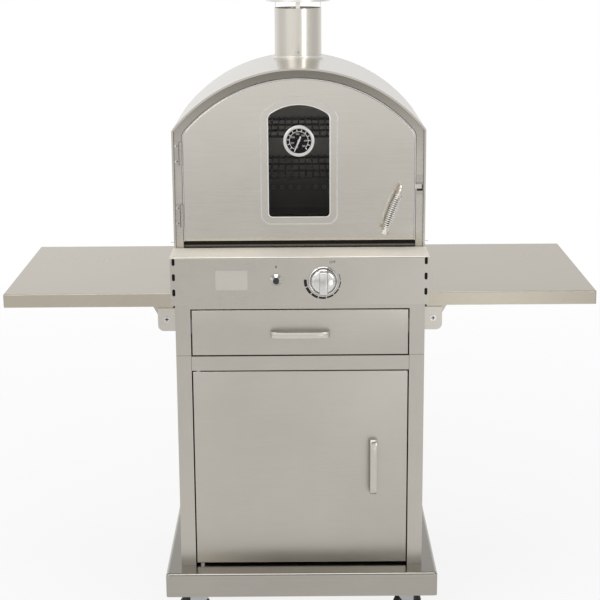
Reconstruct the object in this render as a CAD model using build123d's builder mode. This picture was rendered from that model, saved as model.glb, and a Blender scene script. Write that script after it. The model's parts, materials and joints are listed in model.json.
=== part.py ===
from build123d import *
import math
import os

os.makedirs("parts", exist_ok=True)

# All sizes are millimetres. +X is right, -Y is the front, the floor is Z = 0.

# Sheet metal and fits
sheet = 1.5
heavy_sheet = 2.0
seat_gap = 0.2
touch_gap = 0.3
running_fit = 0.08

# Base slab and casters
base_width = 735
base_depth = 740
base_height = 66
base_bend = 8
base_side_reveal = 38.5
channel_width = 100
caster_height = 112
caster_inset_x = 97.5
caster_inset_y = 79
caster_plate_size = 84
caster_plate_thickness = 3
race_radius = 24
fork_sheet = 2.5
fork_head_drop = 14
fork_side_gap = 2.5
kingpin_radius = 5
kingpin_head_radius = 9
kingpin_head = 2.5
caster_trail = 26
wheel_diameter = 90
wheel_width = 24
wheel_crown = 5
hub_radius = 15
hub_proud = 1.5
axle_radius = 4
axle_head_radius = 7
axle_head = 3
axle_boss_radius = 11

# Cart frame
post_size = 40
front_reveal = 65
rear_reveal = 20
panel_recess = 8
front_gap = 3
door_floor_gap = 6
door_height = 545
rail_height = 39
drawer_height = 123
lip_height = 11
side_gap = 3
vent_length = 120
vent_width = 8
vent_pitch = 26
vent_rows = 5
vent_columns = 2
vent_spacing = 240
vent_drop = 150

# Drawer
drawer_face_depth = 18
drawer_box_depth = 525
drawer_box_lift = 14
drawer_box_height = 90
slide_thickness = 11
slide_height = 36
slide_drop = 30
runner_setback = 15

# Cart door
cart_door_thickness = 16
pivot_edge = 15
pivot_setback = 6
pivot_radius = 4
pivot_flange_radius = 7
pivot_length = 16
catch_height = 24
catch_width = 14
catch_depth = 20
catch_level = 345

# Bow pulls on the drawer and the cart door
pull_bar = 4
drawer_pull_length = 158
drawer_pull_width = 16
drawer_pull_rise = 28
drawer_pull_level = 60
door_pull_length = 157
door_pull_width = 18
door_pull_rise = 26
door_pull_edge = 91
door_pull_level = 279
pull_foot = 14

# Side shelves and their fold-down brackets
shelf_length = 450.5
shelf_depth = 622
shelf_edge = 36
shelf_bend = 3
shelf_rise = 31
shelf_wall_gap = 2
shelf_front_setback = 8
bracket_sheet = 3
bracket_width = 47
bracket_drop = 62
bracket_top_gap = 6
bracket_corner = 16
bracket_flange = 21
bracket_setback = 6
bolt_out = 23
bolt_drop = 36
bolt_radius = 4
bolt_head_radius = 8
bolt_head = 3
ear_radius = 17
ear_flare = 54

# Control fascia
fascia_overhang = 11
fascia_height = 129
fascia_bend = 6
fascia_return = 7
ledge_depth = 120
slot_inset = 9
slot_width = 8
slot_length = 19
slot_pitch = 41
slot_middle = 75
badge_left = -179
badge_level = 67
badge_width = 84
badge_height = 53
badge_sheet = 1

# Gas valve, knob and igniter
knob_x = 62
knob_level = 64
knob_radius = 33
knob_skirt = 10
knob_stand_off = 4
grip_width = 22
grip_length = 60
grip_height = 27
grip_round = 5
knob_travel = 3
bezel_radius = 39.5
bezel_depth = 7
stem_radius = 4
stem_flat = 3
stem_in_knob = 14
stem_in_valve = 12
stem_hole_radius = 7
valve_width = 26
valve_depth = 29
valve_rise = 15
valve_drop = 48
boss_radius = 11
orifice_radius = 5
orifice_length = 14
igniter_x = -62
igniter_level = 68
collar_radius = 16
collar_depth = 14
barrel_radius = 10
barrel_length = 45
barrel_hole_gap = 0.3
button_radius = 8
button_proud = 8
button_length = 29
button_travel = 5

# Gas supply and burner
pipe_radius = 9
pipe_bend = 25
pipe_drop = 35
pipe_setback = 20
inlet_inset = 29
inlet_nut_radius = 13
inlet_nut = 6
inlet_radius = 7.94
inlet_length = 12
burner_leg_x = 90
burner_leg_radius = 16
burner_front = 190
burner_length = 360
venturi_radius = 13
venturi_bore = 10.5
venturi_gap = 6
port_radius = 2
port_count = 8
foot_width = 24
foot_length = 20

# Oven shell
hood_overhang = 8
hood_wall = 315
crown_radius = 430
hem_width = 5
ring_recess = 10
ring_width = 25
shoulder_round = 30
sill_height = 18
sill_gap = 4
sill_setback = 22
sill_depth = 4
deck_opening_x = 230
deck_opening_front = 60
deck_opening_back = 80
flange_width = 27
seal_gap = 3
liner_back_gap = 50
liner_floor_opening_x = 200
liner_floor_opening_front = 60
liner_floor_opening_back = 60
back_hole_radius = 4
back_hole_pitch = 25
back_hole_count = 13
back_hole_level = 84
wool_gap = 1

# Heat plate and wire racks
plate_overlap = 15
plate_lift = 5
plate_hole_radius = 5
plate_hole_pitch = 40
rack_ledge = 28
rack_lower_level = 172
rack_upper_level = 285
rack_bar = 4
rack_frame = 6
rack_pitch = 19
rack_cross_pitch = 115
rack_side_gap = 3
rack_front_gap = 45
rack_back_gap = 12

# Chimney
chimney_setback = 125
chimney_radius = 67
chimney_wall = 1.5
chimney_length = 133
collar_flange_radius = 72
collar_rise = 3
spigot_length = 25
spigot_drop = 65
cap_radius = 91.5
cap_gap = 19
cap_rim = 24
cap_cone = 12
strap_width = 12
strap_sheet = 1.5
strap_overlap = 34
strap_count = 4

# Oven door
door_gap = 4
door_proud = 6
oven_door_thickness = 30
door_edge_round = 2
window_half_width = 81
window_sill = 66
window_wall = 271
window_rise = 27
window_corner = 10
border_width = 22
border_proud = 3
border_corner = 28
border_round = 2
glass_thickness = 4
glass_lap = 12

# Thermometer
dial_level = 270
dial_radius = 42
dial_depth = 16
dial_face_radius = 33
dial_recess = 5
dial_edge = 4
dial_pin_radius = 1.2
dial_stem_radius = 3.5
dial_stem_length = 55
dial_nut_radius = 9
dial_nut = 5
lens_thickness = 1.4
lens_setback = 1
needle_length = 27
needle_tail = 13
needle_tip_width = 1
needle_root_width = 4
needle_hub_radius = 4
needle_thickness = 1
needle_rest_angle = 203

# Oven door hinges
hinge_offset = 6
hinge_height = 62
hinge_levels = (38, 205)
hinge_radius = 5
hinge_pin_radius = 2.4
hinge_leaf = 2
hinge_leaf_width = 20
hinge_face_gap = 0.5
hinge_leaf_depth = 22
screw_radius = 3.5
screw_head = 1.5

# Oven door handle and latch
handle_edge = 37
handle_level = 153
handle_stand_off = 46
handle_lean = 20.2
handle_length = 135
handle_bend = 14
handle_rod_radius = 4
bush_radius = 12
bush_proud = 3
stop_radius = 9.5
stop_length = 3
cap_end_radius = 10
cap_end_length = 11
latch_thickness = 3
latch_height = 12
latch_reach = 19
latch_drop = 8
latch_hub_radius = 9
latch_swing_room = 50
keeper_sheet = 0.8
keeper_width = 17
keeper_shelf = 2
keeper_rise = 24
keeper_fall = 30
keeper_depth = 10

# Coil grip on the handle rod
coil_wire = 3
coil_turns = 17
coil_end_radius = 6.6
coil_middle_radius = 10.8
coil_lead = 5.5
coil_start = 26

# Half widths that follow the base slab
cart_half = base_width / 2 - base_side_reveal
fascia_half = cart_half + fascia_overhang
hood_half = cart_half + hood_overhang

# Levels stacked up from the floor
base_top = caster_height + base_height
door_bottom = base_top + door_floor_gap
door_top = door_bottom + door_height
rail_bottom = door_top + front_gap
rail_top = rail_bottom + rail_height
drawer_bottom = rail_top + front_gap
drawer_top = drawer_bottom + drawer_height
lip_bottom = drawer_top + front_gap
cart_top = lip_bottom + lip_height
fascia_top = cart_top + fascia_height
eave = fascia_top + hood_wall
crown_z = eave - math.sqrt(crown_radius**2 - hood_half**2)
crown_top = crown_z + crown_radius

# Depths from front to back
base_front = -base_depth / 2
cart_front = base_front + front_reveal
cart_back = base_depth / 2 - rear_reveal
oven_front = cart_front + ledge_depth
ring_face = oven_front + ring_recess
oven_door_front = ring_face - door_proud
oven_door_back = oven_door_front + oven_door_thickness
liner_front = oven_door_back + seal_gap
liner_back = cart_back - liner_back_gap
chimney_y = cart_back - chimney_setback

# Half widths inside the cart and the oven
post_inner = cart_half - post_size
inlet_x = inlet_inset - cart_half
face_half = post_inner - side_gap
opening_half = hood_half - ring_width
opening_radius = crown_radius - ring_width
oven_door_half = opening_half - door_gap
handle_x = oven_door_half - handle_edge
oven_door_radius = opening_radius - door_gap
oven_door_bottom = fascia_top + sill_height
liner_half = opening_half - flange_width
liner_radius = opening_radius - flange_width
liner_floor = oven_door_bottom + sill_gap


def save(built, name):
    """Label a finished piece and write its file."""
    built.part.label = name
    export_step(built.part, f"parts/{name}.step")


def front_plane(y):
    """A sketch plane at depth y that faces the front, with X right and Z up."""
    return Plane.XZ.offset(-y)


def slab(low, high, mode=Mode.ADD):
    """A box between two corners."""
    sizes = [b - a for a, b in zip(low, high)]
    middle = tuple((a + b) / 2 for a, b in zip(low, high))
    with Locations(middle):
        Box(*sizes, mode=mode)


def disc(x, z, front, back, radius, mode=Mode.ADD):
    """A round bar along Y from front to back."""
    with BuildSketch(front_plane(back)) as section:
        with Locations((x, z)):
            Circle(radius)
    extrude(section.sketch, amount=back - front, mode=mode)


def stud(x, y, low, high, radius, mode=Mode.ADD):
    """An upright round bar."""
    with Locations((x, y, (low + high) / 2)):
        Cylinder(radius, high - low, mode=mode)


def sheet_face(outline, front, back, hole=None):
    """A flat plate of the given outline, with an optional hole outline."""
    with BuildSketch(front_plane(back)) as section:
        add(outline)
        if hole is not None:
            add(hole, mode=Mode.SUBTRACT)
    extrude(section.sketch, amount=back - front)


def arch(half_width, bottom, radius, corner=0.0):
    """An arched outline about the crown centre, with rounded shoulders."""
    spring = crown_z + math.sqrt(radius**2 - half_width**2)
    with BuildSketch() as profile:
        with BuildLine():
            Polyline((half_width, spring), (half_width, bottom), (-half_width, bottom), (-half_width, spring))
            ThreePointArc((-half_width, spring), (0, crown_z + radius), (half_width, spring))
        make_face()
        if corner > 0:
            fillet(profile.vertices().group_by(Axis.Y)[-1], corner)
    return profile.sketch


def window(half_width, bottom, wall, rise, lower_corner, upper_corner):
    """An upright outline with a low arch on top."""
    spring = bottom + wall
    with BuildSketch() as profile:
        with BuildLine():
            Polyline((half_width, spring), (half_width, bottom), (-half_width, bottom), (-half_width, spring))
            ThreePointArc((-half_width, spring), (0, spring + rise), (half_width, spring))
        make_face()
        fillet(profile.vertices().group_by(Axis.Y)[-1], upper_corner)
        fillet(profile.vertices().group_by(Axis.Y)[0], lower_corner)
    return profile.sketch


# Outlines shared by the pieces of the oven
hood_outline = arch(hood_half, fascia_top, crown_radius)
hood_inside = arch(hood_half - sheet, fascia_top, crown_radius - sheet)
hem_inside = arch(hood_half - hem_width, fascia_top, crown_radius - hem_width)
ring_outline = arch(hood_half - sheet - seat_gap, fascia_top, crown_radius - sheet - seat_gap)
opening_outline = arch(opening_half, fascia_top, opening_radius, shoulder_round + door_gap)
jamb_outline = arch(
    opening_half + sheet, fascia_top, opening_radius + sheet, shoulder_round + door_gap + sheet
)
door_outline = arch(oven_door_half, oven_door_bottom, oven_door_radius, shoulder_round)
door_inside = arch(
    oven_door_half - sheet, oven_door_bottom + sheet, oven_door_radius - sheet, shoulder_round - sheet
)
door_back_outline = arch(
    oven_door_half - sheet - seat_gap,
    oven_door_bottom + sheet + seat_gap,
    oven_door_radius - sheet - seat_gap,
    shoulder_round - sheet - seat_gap,
)
liner_outline = arch(liner_half, liner_floor, liner_radius)
liner_inside = arch(liner_half - sheet, liner_floor + sheet, liner_radius - sheet)
flange_outline = arch(
    opening_half - seat_gap, liner_floor, opening_radius - seat_gap, shoulder_round + door_gap - seat_gap
)
wool_outline = arch(hood_half - sheet - wool_gap, fascia_top, crown_radius - sheet - wool_gap)
wool_inside = arch(liner_half + wool_gap, fascia_top, liner_radius + wool_gap)
window_bottom = oven_door_bottom + window_sill
window_outline = window(
    window_half_width, window_bottom, window_wall, window_rise, window_corner, window_corner
)
border_outline = window(
    window_half_width + border_width,
    window_bottom - border_width,
    window_wall + border_width,
    window_rise + border_width,
    border_corner,
    border_corner,
)
glass_outline = window(
    window_half_width + glass_lap,
    window_bottom - glass_lap,
    window_wall + glass_lap,
    window_rise + glass_lap,
    window_corner,
    window_corner,
)

# Base tray, a folded slab that is open below
with BuildPart() as base_tray:
    slab(
        (-base_width / 2, base_front, caster_height),
        (base_width / 2, -base_front, base_top),
    )
    upper_edges = base_tray.faces().sort_by(Axis.Z)[-1].edges()
    fillet(upper_edges + base_tray.edges().filter_by(Axis.Z), base_bend)
    offset(amount=-heavy_sheet, openings=base_tray.faces().sort_by(Axis.Z)[0])
save(base_tray, "base_tray")

# Two box channels under the slab carry the casters
caster_x = base_width / 2 - caster_inset_x
caster_y = base_depth / 2 - caster_inset_y
channel_half = base_width / 2 - base_bend
with BuildPart() as base_channels:
    for side in (-1, 1):
        low_y = side * caster_y - channel_width / 2
        high_y = side * caster_y + channel_width / 2
        slab((-channel_half, low_y, caster_height), (channel_half, high_y, base_top - heavy_sheet))
        slab(
            (-channel_half, low_y + heavy_sheet, caster_height + heavy_sheet),
            (channel_half, high_y - heavy_sheet, base_top - 2 * heavy_sheet),
            Mode.SUBTRACT,
        )
save(base_channels, "base_channels")

# Caster top plates with bearing races and kingpins
fork_top = caster_height - fork_head_drop
race_bottom = fork_top + touch_gap
fork_crown = fork_top - fork_sheet
with BuildPart() as caster_plates:
    with Locations((0, 0, caster_height - caster_plate_thickness / 2)):
        with GridLocations(2 * caster_x, 2 * caster_y, 2, 2):
            Box(caster_plate_size, caster_plate_size, caster_plate_thickness)
    for x in (-caster_x, caster_x):
        for y in (-caster_y, caster_y):
            stud(x, y, race_bottom, caster_height - caster_plate_thickness, race_radius)
            stud(x, y, fork_crown - touch_gap - kingpin_head, race_bottom, kingpin_radius)
            stud(x, y, fork_crown - touch_gap - kingpin_head, fork_crown - touch_gap, kingpin_head_radius)
save(caster_plates, "caster_plates")

# Caster forks and wheels, each turned to its own heading
casters = {
    "front_left": (-caster_x, -caster_y, 180),
    "front_right": (caster_x, -caster_y, 35),
    "rear_left": (-caster_x, caster_y, 115),
    "rear_right": (caster_x, caster_y, 70),
}
wheel_radius = wheel_diameter / 2
fork_inside = wheel_width / 2 + fork_side_gap
fork_outside = fork_inside + fork_sheet
for name, (x, y, heading) in casters.items():
    turn = math.radians(heading)
    forward = Vector(math.cos(turn), math.sin(turn), 0)
    across = Vector(-math.sin(turn), math.cos(turn), 0)
    caster_plane = Plane(origin=(x, y, 0), x_dir=forward, z_dir=(0, 0, 1))

    with BuildPart(caster_plane) as caster_fork:
        slab(
            (-race_radius, -fork_outside, fork_crown),
            (caster_trail + axle_boss_radius, fork_outside, fork_top),
        )
        for inner in (-fork_outside, fork_inside):
            leg_plane = Plane(
                origin=caster_plane.from_local_coords((0, inner + fork_sheet, 0)),
                x_dir=forward,
                z_dir=across * -1,
            )
            with BuildSketch(leg_plane):
                Polygon(
                    (-race_radius, fork_top),
                    (caster_trail - axle_boss_radius, wheel_radius),
                    (caster_trail + axle_boss_radius, wheel_radius),
                    (caster_trail + axle_boss_radius, fork_top),
                    align=None,
                )
                with Locations((caster_trail, wheel_radius)):
                    Circle(axle_boss_radius)
            extrude(amount=fork_sheet)
        with Locations((0, 0, fork_crown)):
            Cylinder(kingpin_radius + running_fit, 4 * fork_sheet, mode=Mode.SUBTRACT)
        with Locations((caster_trail, 0, wheel_radius)):
            Cylinder(axle_radius, 2 * fork_outside, rotation=(90, 0, 0))
        for end in (-1, 1):
            with Locations((caster_trail, end * (fork_outside + axle_head / 2), wheel_radius)):
                Cylinder(axle_head_radius, axle_head, rotation=(90, 0, 0))
    save(caster_fork, f"{name}_caster_fork")

    with BuildPart(caster_plane) as caster_wheel:
        with Locations((caster_trail, 0, wheel_radius)):
            Cylinder(wheel_radius, wheel_width, rotation=(90, 0, 0))
        fillet(caster_wheel.edges().filter_by(GeomType.CIRCLE), wheel_crown)
        with Locations((caster_trail, 0, wheel_radius)):
            Cylinder(hub_radius, wheel_width + 2 * hub_proud, rotation=(90, 0, 0))
            Cylinder(axle_radius + running_fit, 2 * wheel_width, rotation=(90, 0, 0), mode=Mode.SUBTRACT)
    save(caster_wheel, f"{name}_caster_wheel")

# Corner posts, square tubes
with BuildPart() as corner_posts:
    for x in (-cart_half, post_inner):
        for y in (cart_front, cart_back - post_size):
            slab((x, y, base_top), (x + post_size, y + post_size, cart_top))
            slab(
                (x + sheet, y + sheet, base_top),
                (x + post_size - sheet, y + post_size - sheet, cart_top),
                Mode.SUBTRACT,
            )
save(corner_posts, "corner_posts")

# Side panels and back panel between the posts
panel_front = cart_front + post_size
panel_back = cart_back - post_size
with BuildPart() as side_panels:
    for x in (-cart_half + panel_recess, cart_half - panel_recess - sheet):
        slab((x, panel_front, base_top), (x + sheet, panel_back, cart_top))
save(side_panels, "side_panels")

with BuildPart() as back_panel:
    slab(
        (-post_inner, cart_back - panel_recess - sheet, base_top),
        (post_inner, cart_back - panel_recess, cart_top),
    )
    with BuildSketch(front_plane(cart_back)):
        with Locations((0, cart_top - vent_drop)):
            with GridLocations(vent_spacing, vent_pitch, vent_columns, vent_rows):
                SlotOverall(vent_length, vent_width)
    extrude(amount=2 * panel_recess, mode=Mode.SUBTRACT)
save(back_panel, "back_panel")

# Front rails, hollow bars between the front posts
with BuildPart() as front_rails:
    for low, high in ((rail_bottom, rail_top), (lip_bottom, cart_top)):
        slab((-post_inner, cart_front, low), (post_inner, panel_front, high))
        slab(
            (-post_inner, cart_front + sheet, low + sheet),
            (post_inner, panel_front - sheet, high - sheet),
            Mode.SUBTRACT,
        )
save(front_rails, "front_rails")

# Drawer runners: fixed channels on the posts and slides on the box
slide_top = drawer_top - slide_drop
slide_bottom = slide_top - slide_height
drawer_box_front = cart_front + drawer_face_depth
drawer_box_back = drawer_box_front + drawer_box_depth
runner_front = drawer_box_front + touch_gap
runner_back = cart_back - runner_setback
slide_inner = post_inner - sheet - touch_gap - slide_thickness
with BuildPart() as runner_channels:
    for side in (-1, 1):
        inner, outer = sorted((side * (slide_inner + touch_gap), side * post_inner))
        web_cut = sorted((side * slide_inner, side * (post_inner - sheet)))
        slab(
            (inner, runner_front, slide_bottom - touch_gap - sheet),
            (outer, runner_back, slide_top + touch_gap + sheet),
        )
        slab(
            (web_cut[0], runner_front, slide_bottom - touch_gap),
            (web_cut[1], runner_back, slide_top + touch_gap),
            Mode.SUBTRACT,
        )
save(runner_channels, "runner_channels")

with BuildPart() as runner_slides:
    for side in (-1, 1):
        inner, outer = sorted((side * slide_inner, side * (slide_inner + slide_thickness)))
        slab((inner, drawer_box_front, slide_bottom), (outer, drawer_box_back, slide_top))
save(runner_slides, "runner_slides")

# Drawer face, a folded pan with a closing plate behind it, and the open box
with BuildPart() as drawer_front:
    slab((-face_half, cart_front, drawer_bottom), (face_half, drawer_box_front, drawer_top))
    slab(
        (-face_half + sheet, cart_front + sheet, drawer_bottom + sheet),
        (face_half - sheet, drawer_box_front, drawer_top - sheet),
        Mode.SUBTRACT,
    )
    slab(
        (-face_half + sheet + seat_gap, drawer_box_front - sheet, drawer_bottom + sheet + seat_gap),
        (face_half - sheet - seat_gap, drawer_box_front, drawer_top - sheet - seat_gap),
    )
save(drawer_front, "drawer_front")

drawer_box_bottom = drawer_bottom + drawer_box_lift
with BuildPart() as drawer_box:
    slab(
        (-slide_inner, drawer_box_front, drawer_box_bottom),
        (slide_inner, drawer_box_back, drawer_box_bottom + drawer_box_height),
    )
    slab(
        (-slide_inner + sheet, drawer_box_front + sheet, drawer_box_bottom + sheet),
        (slide_inner - sheet, drawer_box_back - sheet, drawer_box_bottom + drawer_box_height),
        Mode.SUBTRACT,
    )
save(drawer_box, "drawer_box")


def bow_pull(plane, length, width, rise):
    """A flat bar bent outwards in a bow, with a flat foot at each end."""
    with BuildPart() as pull:
        with BuildSketch(plane.offset(-width / 2)):
            with BuildLine():
                ThreePointArc((-length / 2, 0), (0, -rise), (length / 2, 0))
                Line((length / 2, 0), (length / 2 - pull_foot, 0))
                ThreePointArc(
                    (length / 2 - pull_foot, 0), (0, -rise + pull_bar), (-length / 2 + pull_foot, 0)
                )
                Line((-length / 2 + pull_foot, 0), (-length / 2, 0))
            make_face()
        extrude(amount=width)
    return pull


drawer_pull_plane = Plane(
    origin=(0, cart_front, drawer_bottom + drawer_pull_level), x_dir=(1, 0, 0), z_dir=(0, 0, 1)
)
drawer_pull = bow_pull(drawer_pull_plane, drawer_pull_length, drawer_pull_width, drawer_pull_rise)
save(drawer_pull, "drawer_pull")

door_pull_plane = Plane(
    origin=(face_half - door_pull_edge, cart_front, door_bottom + door_pull_level),
    x_dir=(0, 0, -1),
    z_dir=(1, 0, 0),
)
cart_door_pull = bow_pull(door_pull_plane, door_pull_length, door_pull_width, door_pull_rise)
save(cart_door_pull, "cart_door_pull")

# Cart door, a folded pan with a closing plate, on two pivot pins
pivot_x = -face_half + pivot_edge
pivot_y = cart_front + pivot_setback
cart_door_back = cart_front + cart_door_thickness
with BuildPart() as cart_door_panels:
    slab((-face_half, cart_front, door_bottom), (face_half, cart_door_back, door_top))
    slab(
        (-face_half + sheet, cart_front + sheet, door_bottom + sheet),
        (face_half - sheet, cart_door_back, door_top - sheet),
        Mode.SUBTRACT,
    )
    slab(
        (-face_half + sheet + seat_gap, cart_door_back - sheet, door_bottom + sheet + seat_gap),
        (face_half - sheet - seat_gap, cart_door_back, door_top - sheet - seat_gap),
    )
    stud(pivot_x, pivot_y, door_bottom, door_top, pivot_radius + running_fit, Mode.SUBTRACT)
save(cart_door_panels, "cart_door_panels")

with BuildPart() as cart_door_pivots:
    stud(pivot_x, pivot_y, base_top, door_bottom - touch_gap, pivot_flange_radius)
    stud(pivot_x, pivot_y, base_top, door_bottom + pivot_length, pivot_radius)
    stud(pivot_x, pivot_y, door_top + touch_gap, rail_bottom, pivot_flange_radius)
    stud(pivot_x, pivot_y, door_top - pivot_length, rail_bottom, pivot_radius)
save(cart_door_pivots, "cart_door_pivots")

with BuildPart() as door_catch:
    slab(
        (post_inner - catch_width, cart_door_back + touch_gap, door_bottom + catch_level - catch_height / 2),
        (post_inner, cart_door_back + touch_gap + catch_depth, door_bottom + catch_level + catch_height / 2),
    )
save(door_catch, "door_catch")

# Side shelves, folded pans with welded ears that turn on bolts in fixed brackets
shelf_top = cart_top + shelf_rise
shelf_bottom = shelf_top - shelf_edge
shelf_inner = cart_half + shelf_wall_gap
shelf_front = cart_front + shelf_front_setback
shelf_back = shelf_front + shelf_depth
bolt_x = cart_half + bolt_out
bolt_z = shelf_bottom - bolt_drop
front_bracket = shelf_front + bracket_setback
rear_bracket = shelf_back - bracket_setback
ear_layers = (
    (front_bracket + bracket_sheet + touch_gap, front_bracket + 2 * bracket_sheet + touch_gap),
    (rear_bracket - 2 * bracket_sheet - touch_gap, rear_bracket - bracket_sheet - touch_gap),
)
for name, side in (("left_shelf", -1), ("right_shelf", 1)):
    low_x, high_x = sorted((side * shelf_inner, side * (shelf_inner + shelf_length)))
    with BuildPart() as shelf:
        slab((low_x, shelf_front, shelf_bottom), (high_x, shelf_back, shelf_top))
        top_edges = shelf.faces().sort_by(Axis.Z)[-1].edges()
        fillet(top_edges + shelf.edges().filter_by(Axis.Z), shelf_bend)
        offset(amount=-sheet, openings=shelf.faces().sort_by(Axis.Z)[0])
        for ear_front, ear_back in ear_layers:
            with BuildSketch(front_plane(ear_back)):
                with Locations((side * bolt_x, bolt_z)):
                    Circle(ear_radius)
                Polygon(
                    (side * (bolt_x - ear_radius), bolt_z),
                    (side * (bolt_x - ear_radius), shelf_top - sheet / 2),
                    (side * (bolt_x - ear_radius + ear_flare), shelf_top - sheet / 2),
                    (side * (bolt_x - ear_radius + ear_flare), shelf_bottom),
                    (side * (bolt_x + ear_radius), bolt_z),
                    align=None,
                )
            extrude(amount=ear_back - ear_front)
        disc(side * bolt_x, bolt_z, shelf_front, shelf_back, bolt_radius + running_fit, Mode.SUBTRACT)
    save(shelf, name)

bracket_top = shelf_bottom - bracket_top_gap
with BuildPart() as shelf_brackets:
    for side in (-1, 1):
        for plate_front, flange_front in (
            (front_bracket, front_bracket),
            (rear_bracket - bracket_sheet, rear_bracket - bracket_sheet),
        ):
            with BuildSketch(front_plane(plate_front + bracket_sheet)) as bracket_face:
                Polygon(
                    (side * cart_half, bracket_top),
                    (side * cart_half, bracket_top - bracket_drop),
                    (side * (cart_half + bracket_width), bracket_top - bracket_drop),
                    (side * (cart_half + bracket_width), bracket_top),
                    align=None,
                )
                lower = bracket_face.vertices().group_by(Axis.Y)[0]
                fillet(lower.sort_by(Axis.X)[-1 if side > 0 else 0], bracket_corner)
            extrude(amount=bracket_sheet)
            low_x, high_x = sorted((side * cart_half, side * (cart_half + bracket_sheet)))
            slab(
                (low_x, flange_front, bracket_top - bracket_drop),
                (high_x, flange_front + bracket_flange, bracket_top),
            )
        disc(side * bolt_x, bolt_z, shelf_front, shelf_back, bolt_radius + running_fit, Mode.SUBTRACT)
save(shelf_brackets, "shelf_brackets")

# Control fascia, a folded sheet with a top ledge and short returned ends
knob_z = cart_top + knob_level
igniter_z = cart_top + igniter_level
with BuildPart() as fascia:
    slab((-fascia_half, cart_front, cart_top), (fascia_half, oven_front, fascia_top))
    slab(
        (-fascia_half, cart_front + sheet, cart_top),
        (fascia_half, oven_front, fascia_top - sheet),
        Mode.SUBTRACT,
    )
    folds = fascia.edges().filter_by(Axis.X)
    fillet(folds.sort_by_distance((0, cart_front + sheet, fascia_top - sheet))[0], fascia_bend - sheet)
    folds = fascia.edges().filter_by(Axis.X)
    fillet(folds.sort_by_distance((0, cart_front, fascia_top))[0], fascia_bend)
    for x in (-fascia_half, fascia_half - sheet):
        slab(
            (x, cart_front + fascia_bend, cart_top),
            (x + sheet, cart_front + fascia_return, fascia_top - fascia_bend),
        )
        slab((x, cart_front, cart_top), (x + sheet, cart_front + fascia_bend, fascia_top - fascia_bend))
    with BuildSketch(front_plane(cart_front + fascia_return)):
        with Locations((0, cart_top + slot_middle)):
            with GridLocations(2 * (fascia_half - slot_inset), slot_pitch, 2, 3):
                SlotOverall(slot_length, slot_width, rotation=90)
    extrude(amount=fascia_return, mode=Mode.SUBTRACT)
    disc(knob_x, knob_z, cart_front, cart_front + sheet, stem_hole_radius, Mode.SUBTRACT)
    disc(
        igniter_x, igniter_z, cart_front, cart_front + sheet, barrel_radius + barrel_hole_gap, Mode.SUBTRACT
    )
save(fascia, "fascia")

with BuildPart() as badge_plate:
    with BuildSketch(front_plane(cart_front)):
        with Locations((badge_left, cart_top + badge_level)):
            RectangleRounded(badge_width, badge_height, fascia_bend / 2)
    extrude(amount=badge_sheet)
save(badge_plate, "badge_plate")

# Knob stack: bezel ring, valve, stem and knob on one line
knob_back = cart_front - knob_stand_off
knob_front = knob_back - knob_skirt
valve_face = cart_front + sheet + touch_gap
with BuildPart() as knob_bezel:
    disc(knob_x, knob_z, cart_front - bezel_depth, cart_front, bezel_radius)
    fillet(knob_bezel.faces().sort_by(Axis.Y)[0].edges(), bezel_radius - knob_radius - 2 * sheet)
    disc(knob_x, knob_z, cart_front - bezel_depth, cart_front, knob_radius + sheet, Mode.SUBTRACT)
save(knob_bezel, "knob_bezel")

with BuildPart() as gas_valve:
    slab(
        (knob_x - valve_width / 2, valve_face + knob_stand_off, knob_z - valve_drop),
        (knob_x + valve_width / 2, valve_face + knob_stand_off + valve_depth, knob_z + valve_rise),
    )
    disc(knob_x, knob_z, valve_face, valve_face + knob_stand_off, boss_radius)
    valve_back = valve_face + knob_stand_off + valve_depth
    disc(knob_x, knob_z, valve_back, valve_back + orifice_length, orifice_radius)
    disc(
        knob_x,
        knob_z,
        valve_face,
        valve_face + stem_in_valve + touch_gap,
        stem_radius + running_fit,
        Mode.SUBTRACT,
    )
save(gas_valve, "gas_valve")


def flatted_shaft(front, back, clearance, mode=Mode.ADD):
    """The valve stem's D shape, a round bar with one flat."""
    with BuildSketch(front_plane(back)) as section:
        with Locations((knob_x, knob_z)):
            Circle(stem_radius + clearance)
        with Locations((knob_x + stem_flat + clearance + stem_radius, knob_z)):
            Rectangle(2 * stem_radius, 4 * stem_radius, mode=Mode.SUBTRACT)
    extrude(section.sketch, amount=back - front, mode=mode)


flat_end = knob_back + knob_travel + touch_gap
with BuildPart() as valve_stem:
    disc(knob_x, knob_z, flat_end, valve_face + stem_in_valve, stem_radius)
    flatted_shaft(knob_back - stem_in_knob + knob_travel, flat_end, 0)
save(valve_stem, "valve_stem")

with BuildPart() as knob:
    disc(knob_x, knob_z, knob_front, knob_back, knob_radius)
    fillet(knob.faces().sort_by(Axis.Y)[0].edges(), grip_round)
    with BuildSketch(front_plane(knob_front)):
        with Locations((knob_x, knob_z)):
            SlotOverall(grip_length, grip_width, rotation=90)
    extrude(amount=grip_height)
    fillet(knob.faces().sort_by(Axis.Y)[0].edges(), grip_round)
    flatted_shaft(knob_back - stem_in_knob, knob_back, running_fit, Mode.SUBTRACT)
save(knob, "knob")

# Igniter: chrome collar and barrel, with a sprung button
collar_front = cart_front - collar_depth
button_front = collar_front - button_proud
with BuildPart() as igniter_body:
    disc(igniter_x, igniter_z, collar_front, cart_front, collar_radius)
    chamfer(igniter_body.faces().sort_by(Axis.Y)[0].edges(), collar_depth / 2)
    disc(igniter_x, igniter_z, cart_front, cart_front + barrel_length, barrel_radius)
    disc(
        igniter_x,
        igniter_z,
        collar_front,
        button_front + button_length + button_travel + touch_gap,
        button_radius + running_fit,
        Mode.SUBTRACT,
    )
save(igniter_body, "igniter_body")

with BuildPart() as igniter_button:
    disc(igniter_x, igniter_z, button_front, button_front + button_length, button_radius)
    fillet(igniter_button.faces().sort_by(Axis.Y)[0].edges(), heavy_sheet)
save(igniter_button, "igniter_button")

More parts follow.
